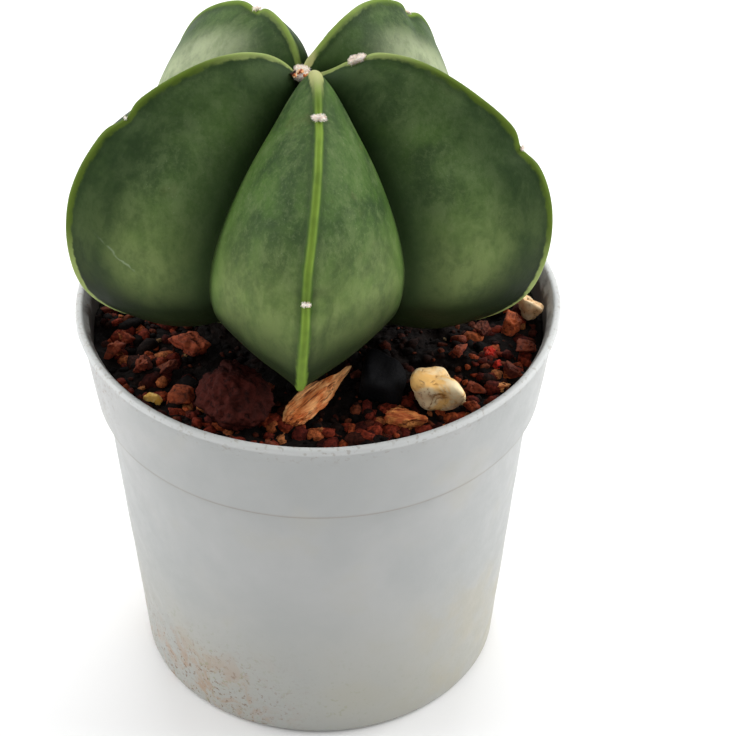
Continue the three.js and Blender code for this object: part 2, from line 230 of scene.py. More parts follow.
def capped_skin(rings: Array, start: Array, end: Array) -> tuple[Array, Faces]:
    """Close a stack of rings with a point at each end.

    Args:
        rings: Points by ring, by place around, by axis.
        start: The point that closes the first ring.
        end: The point that closes the last ring.

    Returns:
        The points and the faces.
    """
    rows, around = rings.shape[:2]
    points = np.vstack([start[None], rings.reshape(-1, 3), end[None]])
    faces = band_faces(rows, around, 1)
    last = len(points) - 1
    top = last - around
    for j in range(around):
        k = (j + 1) % around
        faces.append((0, 1 + k, 1 + j))
        faces.append((last, top + j, top + k))
    return points, faces


def new_piece(name: str, points: Array, faces: Faces) -> Piece:
    """Make a smooth-shaded piece whose faces point outwards.

    Args:
        name: The piece's name.
        points: Rows of x, y, z in millimetres.
        faces: Point numbers of each face.

    Returns:
        The new object, linked to the scene.
    """
    mesh = bpy.data.meshes.new(name)
    mesh.from_pydata((points * MM).tolist(), [], faces)
    shape = bmesh.new()
    shape.from_mesh(mesh)
    bmesh.ops.recalc_face_normals(shape, faces=shape.faces)
    shape.to_mesh(mesh)
    shape.free()
    mesh.shade_smooth()
    piece = bpy.data.objects.new(name, mesh)
    bpy.context.scene.collection.objects.link(piece)
    return piece


def keep_values(piece: Piece, name: str, values: Array) -> None:
    """Store a number or a vector on each point of a piece, for its material to read.

    Args:
        piece: The piece.
        name: Name of the attribute.
        values: One value or row for each point.
    """
    kind, key = ("FLOAT", "value") if values.ndim == 1 else ("FLOAT_VECTOR", "vector")
    layer = piece.data.attributes.new(name, kind, "POINT")
    layer.data.foreach_set(key, values.astype(np.float32).ravel())


def frozen(piece: Piece) -> Piece:
    """Turn a piece's modifiers into plain mesh.

    Args:
        piece: The piece with its modifiers.

    Returns:
        The same object, with the result as its mesh.
    """
    view = bpy.context.evaluated_depsgraph_get()
    mesh = bpy.data.meshes.new_from_object(piece.evaluated_get(view))
    piece.modifiers.clear()
    piece.data = mesh
    return piece


def ball(level: int) -> tuple[Array, Faces]:
    """Give an evenly divided ball of radius 1.

    Args:
        level: Number of divisions, 1 being an icosahedron.

    Returns:
        The points and the faces.
    """
    shape = bmesh.new()
    bmesh.ops.create_icosphere(shape, subdivisions=level, radius=1)
    shape.verts.ensure_lookup_table()
    points = np.array([vertex.co for vertex in shape.verts])
    faces = [tuple(vertex.index for vertex in face.verts) for face in shape.faces]
    shape.free()
    return points, faces


def settle(piece: Piece, nodes: Iterable[str] = (),
           finish: Material | None = None) -> None:
    """Give a finished piece its body and the nodes that it stands for.

    Args:
        piece: The finished piece.
        nodes: The nodes that the piece replaces.
        finish: Its material, where it has none yet.
    """
    if finish:
        piece.data.materials.clear()
        piece.data.materials.append(finish)
    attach(piece, BODY)
    if nodes:
        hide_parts(*nodes)
    stands_for = list(nodes) or "no node"
    log.info("%s: %d faces, stands for %s", piece.name, len(piece.data.polygons), stands_for)


# Shader building ----------------------


def feed(tree: Tree, target: Socket, value: object) -> None:
    """Link a socket to an input, or set the input to a constant.

    Args:
        tree: The tree that holds both.
        target: The input.
        value: A socket, a node whose first output is meant, or a value of the input's kind.
    """
    if isinstance(value, Node):
        value = value.outputs[0]
    if isinstance(value, Socket):
        tree.links.new(value, target)
    else:
        target.default_value = value


def add_node(tree: Tree, kind: str, inputs: dict[str | int, object],
             settings: dict[str, object]) -> Node:
    """Add a node to a tree.

    Args:
        tree: The tree.
        kind: The node's type.
        inputs: Its inputs by name or number, each with what feed takes.
        settings: Properties to set on it.

    Returns:
        The node.
    """
    node = tree.nodes.new(kind)
    for name, value in settings.items():
        setattr(node, name, value)
    for name, value in inputs.items():
        feed(tree, node.inputs[name], value)
    return node


class Shader:
    """A material under construction, with short calls for the nodes that finishes use."""

    def __init__(self, name: str, specular: float) -> None:
        """Start a material with one surface shader.

        Args:
            name: The material's name.
            specular: The surface's specular level.
        """
        self.material = bpy.data.materials.new(name)
        self.material.use_nodes = True
        self.tree = self.material.node_tree
        self.tree.nodes.clear()
        output = self.tree.nodes.new("ShaderNodeOutputMaterial")
        self.surface = self.tree.nodes.new("ShaderNodeBsdfPrincipled")
        self.surface.inputs["Specular IOR Level"].default_value = specular
        self.tree.links.new(self.surface.outputs["BSDF"], output.inputs["Surface"])
        self.place = self.tree.nodes.new("ShaderNodeTexCoord").outputs["Object"]
        self.normal = self.tree.nodes.new("ShaderNodeNewGeometry").outputs["Normal"]

    def add(self, kind: str, inputs: dict[str | int, object], **settings: object) -> Node:
        """Add a node, its type given without the word that all shader nodes start with."""
        return add_node(self.tree, f"ShaderNode{kind}", inputs, settings)

    def set(self, **values: float | Triple) -> None:
        """Set constants on the surface shader, by input name with underscores for spaces."""
        for name, value in values.items():
            self.surface.inputs[name.replace("_", " ")].default_value = value

    def attribute(self, name: str, vector: bool = False) -> Socket:
        """Read a value, or with vector a vector, that the mesh keeps on its points."""
        return self.add("Attribute", {}, attribute_name=name).outputs["Vector" if vector else "Fac"]

    def axis(self, place: Socket, name: str) -> Socket:
        """Take the X, Y or Z part of a place."""
        return self.add("SeparateXYZ", {0: place}).outputs[name]

    def distance(self, name: str) -> Socket:
        """Give a place's X, Y or Z in millimetres."""
        return self.times(self.axis(self.place, name), PER_MM)

    def mapped(self, place: Socket, scale: Triple) -> Socket:
        """Scale a place along the axes."""
        return self.add("Mapping", {"Vector": place, "Scale": scale}).outputs["Vector"]

    def reach(self, origin: Array, direction: Array) -> Socket:
        """Measure how far a place lies from an origin along a direction.

        Args:
            origin: Where the distance is 0, in millimetres.
            direction: The direction, of length 1.

        Returns:
            The distance in millimetres.
        """
        dot = self.add("VectorMath", {0: self.place, 1: direction}, operation="DOT_PRODUCT")
        return self.sum("SUBTRACT", self.times(dot.outputs["Value"], PER_MM), float(origin @ direction))

    def clouds(self, size: float, detail: float = 3, rough: float = 0.55, warp: float = 0,
               place: Socket | None = None) -> Socket:
        """Make soft noise, from 0 to 1.

        Args:
            size: Width of its broadest patches, in millimetres.
            detail: Number of finer layers.
            rough: How strong the finer layers are.
            warp: How much the pattern is twisted.
            place: Where it is looked up, the object's own place by default.

        Returns:
            The noise.
        """
        inputs = {"Vector": place or self.place, "Scale": PER_MM / size, "Detail": detail}
        return self.add("TexNoise", {**inputs, "Roughness": rough, "Distortion": warp}).outputs["Fac"]

    def cells(self, size: float) -> Socket:
        """Give the distance to the middle of each cell of a pattern, for cells of a width in mm."""
        return self.add("TexVoronoi", {"Vector": self.place, "Scale": PER_MM / size}).outputs["Distance"]

    def eased(self, value: Value, low: float, high: float, start: float = 0,
              end: float = 1) -> Socket:
        """Map a value smoothly from one range to another.

        Args:
            value: The value.
            low: Where the change starts.
            high: Where it ends.
            start: Result at low.
            end: Result at high.

        Returns:
            The mapped value.
        """
        inputs = {"Value": value, "From Min": low, "From Max": high, "To Min": start, "To Max": end}
        return self.add("MapRange", inputs, interpolation_type="SMOOTHSTEP").outputs["Result"]

    def sum(self, operation: str, a: Value, b: Value = 0.0) -> Socket:
        """Work out a sum of two values by one of the math node's operations."""
        return self.add("Math", {0: a, 1: b}, operation=operation).outputs[0]

    def times(self, first: Value, *others: Value) -> Value:
        """Multiply values."""
        return reduce(partial(self.sum, "MULTIPLY"), others, first)

    def without(self, value: Value) -> Socket:
        """Give what a value leaves of 1."""
        return self.sum("SUBTRACT", 1.0, value)

    def blend(self, part: Value, under: Colour, over: Colour, how: str = "MIX") -> Socket:
        """Lay one colour over another.

        Args:
            part: How much of the upper colour shows.
            under: The lower colour, as a socket or six digits.
            over: The upper colour.
            how: The mix node's blend type.

        Returns:
            The mixed colour.
        """
        node = self.add("Mix", {"Factor": part}, data_type="RGBA", blend_type=how)
        for name, colour in (("A", under), ("B", over)):
            target = next(s for s in node.inputs if s.name == name and s.type == "RGBA")
            feed(self.tree, target, paint(colour) if isinstance(colour, str) else colour)
        return next(s for s in node.outputs if s.type == "RGBA")

    def layered(self, base: Colour, *layers: tuple[Colour, Value]) -> Colour:
        """Lay colours over a base.

        Args:
            base: The lowest colour.
            layers: Colours in order, each with how much of it shows.

        Returns:
            The mixed colour.
        """
        for colour, part in layers:
            base = self.blend(part, base, colour)
        return base

    def ramp(self, value: Value, *stops: tuple[float, str]) -> Socket:
        """Pick a colour by a value.

        Args:
            value: The value, from 0 to 1.
            stops: Places and their colours, in order.

        Returns:
            The colour.
        """
        node = self.add("ValToRGB", {"Fac": value})
        elements = node.color_ramp.elements
        for element, (position, colour) in zip(elements, (stops[0], stops[-1])):
            element.position, element.color = position, paint(colour)
        for position, colour in stops[1:-1]:
            elements.new(position).color = paint(colour)
        return node.outputs["Color"]

    def finish(self, colour: Socket, roughness: Socket, height: Socket, depth: float,
               strength: float) -> Material:
        """Link the surface's colour, roughness and fine relief.

        Args:
            colour: The colour.
            roughness: The roughness.
            height: The relief's height, from 0 to 1.
            depth: What a height of 1 stands for, in millimetres.
            strength: How strongly the relief shows.

        Returns:
            The finished material.
        """
        bump = self.add("Bump", {"Strength": strength, "Distance": depth * MM, "Height": height})
        self.link(colour, roughness)
        self.tree.links.new(bump.outputs["Normal"], self.surface.inputs["Normal"])
        return self.material

    def link(self, colour: Socket, roughness: Socket) -> None:
        """Link the surface's colour and roughness."""
        self.tree.links.new(colour, self.surface.inputs["Base Color"])
        self.tree.links.new(roughness, self.surface.inputs["Roughness"])


# Finishes -----------------------------


class SkinShader(Shader):
    """The skin's material, with what it reads on the mesh and the patterns that layers share."""

    def __init__(self, patch_size: float, grain_size: float) -> None:
        """Start the material.

        Args:
            patch_size: Width of the mottling's patches in millimetres.
            grain_size: Width of its grain in millimetres.
        """
        super().__init__("stem_skin", 0.06)
        names = ("crest_gap", "furrow_gap", "along", "margin", "young", "painted_sheen")
        self.crest_gap, self.furrow_gap, self.along, self.margin, self.young, self.painted_sheen = (
            self.attribute(name) for name in names
        )
        self.patch = self.clouds(patch_size, 5, 0.7, 0.2, self.mapped(self.place, (1, 1, 0.7)))
        self.grain = self.clouds(grain_size, 4, 0.75)


@dataclass(frozen=True)
class StemSkin:
    """The cactus's skin: mottled green faces, a brighter line on each crest, dark furrows partly painted as
    shade.
    """

    deep: str = "2d4122"
    plain: str = "445c2d"
    dusty: str = "62724a"
    fresh: str = "4c6a2b"
    side: str = "677b50"
    low: str = "77864f"
    blush: str = "55492f"
    crest: str = "708a34"
    crest_deep: str = "3a5220"
    edge: str = "4a5a1a"
    pale_edge: str = "a3b070"
    young: str = "a0a26c"
    shade: str = "1f3018"
    # Painted shade: near-black green for faces that turn downwards.
    under: str = "161f0e"
    # Painted sheen: pale colour where the back ribs' outer faces catch a grazing reflection.
    painted_sheen: str = "a0a987"
    scar: str = "94a383"
    cork: str = "5f4d35"
    scar_start: Triple = (-24.1, -11.6, 66.1)
    scar_end: Triple = (-18.6, -14.7, 62.1)
    scar_facing: Triple = (-0.45, -0.89, 0.08)
    scar_width: float = 0.2
    patch_size: float = 2.6
    grain_size: float = 0.55
    relief: float = 0.14

    def make(self) -> Material:
        """Build the material.

        Returns:
            The material.
        """
        sh = SkinShader(self.patch_size, self.grain_size)
        sh.set(Subsurface_Weight=0.06, Subsurface_Scale=0.0012, Subsurface_Radius=(0.4, 1.0, 0.2))
        patch, grain = sh.patch, sh.grain
        wander = sh.sum("ADD", sh.crest_gap, sh.eased(sh.clouds(1.2, 3, 0.6), 0.3, 0.7, -0.12, 0.12))
        wander = sh.sum("SUBTRACT", wander, sh.times(sh.young, 0.4))
        colour = sh.layered(
            self.shaded(sh, wander),
            (self.line(sh), sh.eased(wander, 0.9, 0.55, 0, 0.95)),
            (self.cork, sh.times(sh.eased(sh.along, 0.83, 0.9), sh.eased(grain, 0.25, 0.6, 0.5, 1))),
        )
        height = sh.sum("ADD", sh.times(grain, 0.5), sh.times(patch, 0.6))
        return sh.finish(colour, sh.eased(patch, 0.3, 0.75, 0.48, 0.62), height, self.relief, 0.5)

    def face(self, sh: SkinShader) -> Colour:
        """Colour the faces between the crests and the furrows.

        Args:
            sh: The material under construction.

        Returns:
            The mottled green, before the darker places are laid on.
        """
        along, patch, grain, margin = sh.along, sh.patch, sh.grain, sh.margin
        flecks = sh.times(sh.eased(sh.cells(0.5), 0.16, 0.05, 0, 0.3), sh.eased(patch, 0.42, 0.6))
        # Paler towards the foot, in patches.
        paler_low = sh.times(sh.eased(along, 0.38, 0.56, 0, 0.7), sh.eased(patch, 0.32, 0.62, 0.5, 1))
        # Painted shade on the side ribs' faces, strongest a few millimetres from the crest.
        dim = sh.times(sh.eased(sh.crest_gap, 9.0, 3.4, 0, 0.85), margin)
        dim = sh.times(dim, sh.eased(along, 0.22, 0.42, 0.5, 1), sh.eased(patch, 0.3, 0.6, 1, 0.85))
        # Painted light on the front rib's faces beside the furrows.
        lit = sh.times(sh.eased(sh.furrow_gap, 4.5, 0.8, 0, 0.5), sh.without(margin))
        return sh.layered(
            self.deep,
            (self.plain, sh.eased(sh.clouds(8, 5, 0.62, 0.2), 0.38, 0.6)),
            (self.dusty, sh.eased(patch, 0.47, 0.64, 0, 0.4)),
            (self.deep, sh.eased(patch, 0.46, 0.32, 0, 0.35)),
            (self.fresh, sh.eased(sh.clouds(6.5, 3, 0.5), 0.54, 0.72, 0, 0.5)),
            (self.blush, sh.eased(sh.clouds(5.2, 4, 0.6), 0.62, 0.76, 0, 0.3)),
            (self.dusty, sh.eased(grain, 0.48, 0.68, 0, 0.35)),
            (self.deep, sh.eased(grain, 0.46, 0.32, 0, 0.35)),
            (self.scar, flecks),
            (self.side, sh.times(margin, sh.eased(patch, 0.35, 0.65, 0.12, 0.38))),
            (self.low, paler_low),
            (self.scar, sh.times(self.scratch(sh), 0.7)),
            (self.shade, dim),
            (self.fresh, lit),
            # Painted shade: darker towards the crown, so that the upward-facing top reads less lit.
            (self.deep, sh.eased(along, 0.3, 0.06, 0, 0.5)),
        )

    def shaded(self, sh: SkinShader, wander: Socket) -> Colour:
        """Lay painted sheen, darker furrows with painted shade, and painted underside shade over the faces.

        Args:
            sh: The material under construction.
            wander: Distance from the crest, made uneven.

        Returns:
            The skin's colour without its crest lines.
        """
        # Painted shade on the other ribs' faces beside the furrows, where the neighbouring rib shades them.
        deep = sh.times(sh.margin, sh.eased(sh.furrow_gap, 6.5, 0.8, 0, 0.75))
        # Painted sheen on the back ribs' outer faces, standing for a grazing reflection.
        painted_sheen = sh.times(sh.painted_sheen, sh.eased(sh.patch, 0.3, 0.6, 0.55, 1), 0.85)
        return sh.layered(
            self.face(sh),
            (self.painted_sheen, painted_sheen),
            # Painted shade in the groove just beside each crest's cord.
            (self.shade, sh.eased(wander, 1.7, 0.8, 0, 0.45)),
            # Darker furrows: partly the skin's own darker green, partly painted shade in the crease.
            (self.shade, sh.eased(sh.furrow_gap, 2.0, 0.3, 0, 0.6)),
            (self.shade, sh.times(deep, sh.without(sh.painted_sheen))),
            # Painted shade on faces that turn downwards.
            (self.under, sh.eased(sh.axis(sh.normal, "Z"), 0.14, -0.38, 0, 0.95)),
        )

    def line(self, sh: SkinShader) -> Colour:
        """Colour the line along each crest: pale when young, bright in its middle with a painted highlight,
        paler when old.

        Args:
            sh: The material under construction.

        Returns:
            The line's colour.
        """
        along = sh.along
        broken = sh.eased(sh.clouds(3.1, 2), 0.35, 0.6, 0.6, 1)
        faded = sh.sum("ADD", sh.eased(along, 0.27, 0.18, 0, 0.5), sh.eased(along, 0.5, 0.6, 0, 0.7))
        return sh.layered(
            self.crest_deep,
            # Brighter middle of the cord: partly its own colour, partly a painted highlight; its darker sides
            # are painted shade.
            (self.crest, sh.times(sh.eased(sh.crest_gap, 0.68, 0.32), broken)),
            (self.edge, sh.times(sh.margin, 0.7)),
            (self.crest, sh.eased(along, 0.5, 0.62, 0, 0.5)),
            (self.crest_deep, sh.eased(along, 0.72, 0.86, 0, 0.7)),
            (self.pale_edge, sh.times(sh.margin, faded)),
            (self.young, sh.young),
        )

    def scratch(self, sh: Shader) -> Socket:
        """Place a thin healed scratch on the left rib's front face.

        Args:
            sh: The material under construction.

        Returns:
            How much of the scratch shows, from 0 to 1.
        """
        start, end, facing = map(np.array, (self.scar_start, self.scar_end, self.scar_facing))
        run = end - start
        length = float(np.linalg.norm(run))
        middle = (start + end) / 2
        down, out = run / length, facing / np.linalg.norm(facing)
        wobble = sh.eased(sh.clouds(2.2, 3), 0.3, 0.7, -0.2, 0.2)
        aside = sh.sum("ABSOLUTE", sh.sum("ADD", sh.reach(middle, np.cross(down, out)), wobble))
        ends = sh.eased(sh.sum("ABSOLUTE", sh.reach(middle, down)), length / 2, length / 5)
        near = sh.eased(sh.sum("ABSOLUTE", sh.reach(middle, out)), 4, 3)
        broken = sh.eased(sh.clouds(1.1, 3), 0.35, 0.6, 0.1, 0.9)
        return sh.times(sh.eased(aside, self.scar_width, 0.03), ends, broken, near)


@dataclass(frozen=True)
class PotPlastic:
    """Light grey moulded plastic, faintly mottled, soil-stained near the foot, with painted shade and
    highlight.
    """

    plain: str = "a2a4a3"
    pale: str = "abacab"
    warm: str = "a9a79c"
    rust_stain: str = "a0703a"
    algae: str = "858a66"
    yellowed: str = "a89a70"
    speck_and_shade: str = "7a6a55"
    soil_bits: str = "6e4a26"
    low_shade: str = "94917c"
    # Painted highlight: paler plastic for the lip's top, where the light falls.
    lip: str = "c9cbca"
    # Soil film and painted shade on the collar's inner wall.
    film_and_shade: str = "3b2f29"
    crease_height: float = 37.2
    collar_height: float = 37.4
    wall_square: float = 640.0
    wall_square_rise: float = 6.2
    relief: float = 0.05

    def make(self) -> Material:
        """Build the material.

        Returns:
            The material.
        """
        sh = Shader("pot_plastic", 0.45)
        sh.set(IOR=1.49)
        height, side = sh.distance("Z"), sh.distance("X")
        broad = sh.clouds(16, 4, 0.55, 0.2)
        fine = sh.clouds(2.1, 5, 0.65)
        low = sh.times(sh.eased(height, 15, 3), sh.eased(side, 2, -14))
        smear = sh.eased(sh.clouds(3.6, 6, 0.7, 0.6), 0.47, 0.64)
        specks = sh.times(sh.eased(sh.clouds(0.7, 3, 0.6), 0.58, 0.66), sh.eased(broad, 0.4, 0.6, 0.3, 1))
        foot = sh.times(sh.eased(height, 20, 2), sh.eased(side, 10, -12, 0.15, 1))
        patch = sh.times(sh.eased(side, 8, 15), sh.eased(height, 22, 16))
        splash = sh.times(sh.eased(side, -21, -25), sh.eased(height, 37, 43, 0, 0.8))
        bits = sh.eased(sh.clouds(0.55, 3, 0.7), 0.57, 0.64)
        crease = sh.sum("ABSOLUTE", sh.sum("SUBTRACT", height, self.crease_height))
        rim = sh.times(sh.eased(height, 45.5, 47.5), sh.eased(sh.clouds(0.6, 4), 0.56, 0.66))
        colour = sh.layered(
            self.plain,
            (self.pale, sh.eased(broad, 0.35, 0.65)),
            (self.warm, sh.eased(sh.clouds(8, 3, 0.5, 0.3), 0.54, 0.72, 0, 0.35)),
            # Painted shade: darker towards the bottom, in broad patches.
            (self.low_shade, sh.times(sh.eased(height, 28, 3, 0, 0.4), sh.eased(broad, 0.3, 0.65, 0.5, 1))),
            (self.rust_stain, sh.times(low, smear, 0.5)),
            (self.algae, sh.times(specks, foot, 0.8)),
            (self.yellowed, sh.times(patch, sh.eased(sh.clouds(5, 4, 0.6), 0.42, 0.62, 0, 0.2))),
            (self.soil_bits, sh.times(sh.sum("MAXIMUM", low, splash), bits, 0.85)),
            # Painted shade: a dark line in the crease under the collar's step.
            (self.speck_and_shade, sh.eased(crease, 0.75, 0.25, 0, 0.45)),
            # Painted highlight along the top of the lip.
            (self.lip, sh.eased(height, 47.6, 48.1, 0, 0.6)),
            (self.speck_and_shade, sh.times(rim, 0.35)),
            # Dark film inside the collar: partly soil, partly painted shade on the inner wall.
            (self.film_and_shade, self.soiled_and_shaded(sh, height)),
        )
        height = sh.sum("ADD", fine, sh.clouds(0.4, 2))
        return sh.finish(colour, sh.eased(fine, 0.3, 0.7, 0.42, 0.58), height, self.relief, 0.3)

    def soiled_and_shaded(self, sh: Shader, height: Socket) -> Socket:
        """Find the collar's inside, up to an uneven tide mark under the lip, for a soil film and painted
        shade.

        Args:
            sh: The material under construction.
            height: A place's height in millimetres.

        Returns:
            How much of the film of soil shows, from 0 to 1.
        """
        squares = (sh.sum("POWER", sh.sum("ABSOLUTE", sh.axis(sh.place, axis)), 2.0) for axis in "XY")
        radius = sh.times(sh.sum("ADD", *squares), PER_MM**2)
        rise = sh.times(sh.sum("SUBTRACT", height, self.collar_height), self.wall_square_rise)
        inside = sh.eased(sh.sum("SUBTRACT", radius, sh.sum("ADD", rise, self.wall_square)), 4, -6)
        tide = sh.sum("ADD", height, sh.eased(sh.clouds(2.4, 4), 0.3, 0.7, -1.2, 1.2))
        return sh.times(inside, sh.eased(height, 38.3, 38.8), sh.eased(tide, 47.9, 45.9), 0.85)


@dataclass(frozen=True)
class CrumbFinish:
    """Loose matter of mixed colours: each crumb's own tint picks its colour, with painted shade in its
    hollows.
    """

    name: str
    stops: Stops
    roughness: float = 0.92
    relief: float = 0.12
    hollow_shade: str = "0c0807"

    def make(self) -> Material:
        """Build the material.

        Returns:
            The material.
        """
        sh = Shader(self.name, 0.1)
        grain = sh.clouds(0.45, 4, 0.7)
        base = sh.ramp(sh.attribute("tint"), *self.stops)
        # Painted shade in the grain's hollows.
        colour = sh.blend(sh.eased(grain, 0.35, 0.7, 0.75, 0), base, self.hollow_shade, "MULTIPLY")
        roughness = sh.eased(grain, 0.3, 0.7, self.roughness, self.roughness - 0.15)
        return sh.finish(colour, roughness, grain, self.relief, 0.8)


@dataclass(frozen=True)
class PeatFinish:
    """Damp dark peat with reddish crumbs."""

    wet: str = "0c0807"
    plain: str = "17100d"
    crumb: str = "221510"
    crumb_size: float = 0.9
    relief: float = 0.3

    def make(self) -> Material:
        """Build the material.

        Returns:
            The material.
        """
        sh = Shader("peat_bed_finish", 0.1)
        grain = sh.clouds(0.6, 5, 0.7)
        cells = sh.cells(self.crumb_size)
        colour = sh.layered(
            self.wet,
            (self.plain, sh.eased(sh.clouds(3, 4, 0.6), 0.35, 0.65)),
            (self.crumb, sh.times(sh.eased(cells, 0.5, 0.2), sh.eased(sh.clouds(2), 0.5, 0.62))),
        )
        height = sh.sum("ADD", grain, sh.eased(cells, 0.6, 0.1, 0, 0.6))
        return sh.finish(colour, sh.eased(grain, 0.3, 0.7, 0.95, 0.75), height, self.relief, 0.9)


@dataclass(frozen=True)
class StoneFinish:
    """A mineral surface: two main tones, darker pits and a grain."""

    name: str
    plain: str
    second: str
    pit: str
    patch_size: float
    pit_size: float
    pit_amount: float
    roughness: float
    relief: float

    def make(self) -> Material:
        """Build the material.

        Returns:
            The material.
        """
        sh = Shader(self.name, 0.15)
        grain = sh.clouds(self.pit_size * 0.5, 4, 0.7)
        low = 0.62 - 0.2 * self.pit_amount
        pits = sh.eased(sh.clouds(self.pit_size, 5, 0.72, 0.7), low, low + 0.14)
        colour = sh.layered(
            self.plain,
            (self.second, sh.eased(sh.clouds(self.patch_size, 4, 0.6, 0.6), 0.38, 0.64)),
            (self.pit, sh.times(pits, 0.85)),
            (self.second, sh.eased(grain, 0.5, 0.75, 0, 0.35)),
        )
        roughness = sh.eased(grain, 0.3, 0.7, self.roughness, self.roughness - 0.14)
        height = sh.sum("SUBTRACT", sh.times(grain, 0.6), sh.times(pits, 0.5))
        return sh.finish(colour, roughness, height, self.relief, 0.9)


@dataclass(frozen=True)
class BarkFinish:
    """Bark or wood in long streaks that run with the piece's own grain."""

    name: str
    plain: str
    golden: str
    dark: str
    streak: float = 0.35
    run: float = 4.0
    relief: float = 0.3

    def make(self) -> Material:
        """Build the material.

        Returns:
            The material.
        """
        sh = Shader(self.name, 0.3)
        grain = sh.attribute("grain", vector=True)
        drawn_out = sh.mapped(grain, (self.streak / self.run, 1, 1))
        streaks = sh.clouds(self.streak, 4, 0.65, 0.3, drawn_out)
        broad = sh.clouds(self.streak * 4, 3, 0.6, 0.4, sh.mapped(grain, (0.4, 1, 1)))
        colour = sh.layered(
            self.plain,
            (self.golden, sh.eased(broad, 0.38, 0.64)),
            (self.dark, sh.eased(streaks, 0.5, 0.66, 0, 0.85)),
            (self.golden, sh.eased(streaks, 0.46, 0.34, 0, 0.5)),
        )
        roughness = sh.eased(streaks, 0.35, 0.65, 0.62, 0.85)
        return sh.finish(colour, roughness, sh.without(streaks), self.relief, 0.9)


@dataclass(frozen=True)
class WoolFinish:
    """Short plant wool, cream with a rosy cast deep in the tuft."""

    pale: str = "faf3ea"
    rosy: str = "ecd3c2"
    roots: str = "d3b29c"
    relief: float = 0.06

    def make(self) -> Material:
        """Build the material.

        Returns:
            The material.
        """
        sh = Shader("areole_wool", 0.15)
        sh.set(Sheen_Weight=0.3, Subsurface_Weight=0.15, Subsurface_Scale=0.0006)
        stops = ((0.0, self.roots), (0.35, self.rosy), (0.75, self.pale), (1.0, self.pale))
        patch = sh.clouds(0.8, 3, 0.6)
        base = sh.ramp(sh.attribute("tint"), *stops)
        colour = sh.blend(sh.eased(patch, 0.48, 0.72, 0, 0.45), base, self.rosy)
        roughness = sh.eased(patch, 0.3, 0.7, 0.9, 1.0)
        return sh.finish(colour, roughness, sh.clouds(0.16, 3, 0.7), self.relief, 0.6)


@dataclass(frozen=True)
class HuskFinish:
    """Dried flower remains, from nearly black through rust to straw."""

    stops: Stops = (
        (0.0, "241a16"), (0.2, "3a2a22"), (0.35, "b4582e"), (0.7, "d08a55"), (1.0, "e2c9a4"),
    )
    rust: str = "8d4c2c"
    relief: float = 0.08

    def make(self) -> Material:
        """Build the material.

        Returns:
            The material.
        """
        sh = Shader("crown_husk", 0.25)
        grain = sh.clouds(0.3, 3, 0.65)
        base = sh.ramp(sh.attribute("tint"), *self.stops)
        colour = sh.blend(sh.eased(grain, 0.5, 0.75, 0, 0.4), base, self.rust)
        return sh.finish(colour, sh.eased(grain, 0.3, 0.7, 0.7, 0.9), grain, self.relief, 0.7)


@dataclass(frozen=True)
class FloorFinish:
    """Plain matt white paper."""

    plain: str = "ececec"
    pale: str = "eeeeee"

    def make(self) -> Material:
        """Build the material.

        Returns:
            The material.
        """
        sh = Shader("floor_paper", 0.0)
        tone = sh.clouds(60, 2)
        colour = sh.blend(sh.eased(tone, 0.3, 0.7), self.plain, self.pale)
        sh.link(colour, sh.eased(tone, 0.3, 0.7, 0.9, 1.0))
        return sh.material


@dataclass(frozen=True)
class LavaFinish:
    """Porous grit: each grain's own tint picks its colour, from dark brown through rust to red."""

    stops: Stops = (
        (0.0, "30100b"), (0.3, "642416"), (0.5, "8e3a22"), (0.75, "b4562c"), (1.0, "c62217"),
    )
    # Painted light: paler colour for faces that turn upwards.
    painted_top_light: str = "b4683f"
    dark: str = "4a2018"
    pale: str = "a8694a"
    pit: str = "240f0b"
    relief: float = 0.3

    def make(self) -> Material:
        """Build the material.

        Returns:
            The material.
        """
        sh = Shader("lava_grit", 0.25)
        patch = sh.clouds(1.3, 4, 0.6, 0.5)
        grain = sh.clouds(0.35, 4, 0.7)
        pits = sh.eased(sh.clouds(0.6, 5, 0.72, 0.7), 0.54, 0.66, 0, 0.8)
        colour = sh.layered(
            sh.ramp(sh.attribute("tint"), *self.stops),
            # Painted light on faces that turn upwards.
            (self.painted_top_light, sh.eased(sh.axis(sh.normal, "Z"), 0.2, 0.95, 0, 0.18)),
            (self.dark, sh.eased(patch, 0.42, 0.66, 0, 0.7)),
            (self.pale, sh.eased(patch, 0.44, 0.3, 0, 0.3)),
            (self.pit, pits),
        )
        height = sh.sum("SUBTRACT", sh.times(grain, 0.6), sh.times(pits, 0.5))
        return sh.finish(colour, sh.eased(grain, 0.3, 0.7, 0.92, 0.75), height, self.relief, 0.9)


STONE_FINISHES = {
    "cream_stone": StoneFinish("cream_stone", "ffca7a", "ffeac0", "b87432", 2.8, 1.3, 0.45, 0.85, 0.2),
    "straw_stone": StoneFinish("straw_stone", "ecb24c", "f8d68c", "9c6a2c", 1.4, 0.8, 0.4, 0.85, 0.2),
    "tan_stone": StoneFinish("tan_stone", "fbcd96", "ffe3ba", "c08c54", 1.8, 0.8, 0.4, 0.85, 0.25),
    "slate": StoneFinish("slate", "08080a", "0e0e11", "040405", 3.2, 0.8, 0.3, 0.8, 0.12),
    "peat": StoneFinish("peat_clod", "34110b", "451811", "1c0806", 2.2, 0.9, 0.4, 0.95, 0.25),
    "lava": LavaFinish(),
    "bark": BarkFinish("bark_wood", "b8582c", "e0924e", "5a1e10"),
    "chip": BarkFinish("bark_chip_wood", "de7c3e", "ffbe7c", "5a1c10"),
}


# Geometry Nodes -----------------------


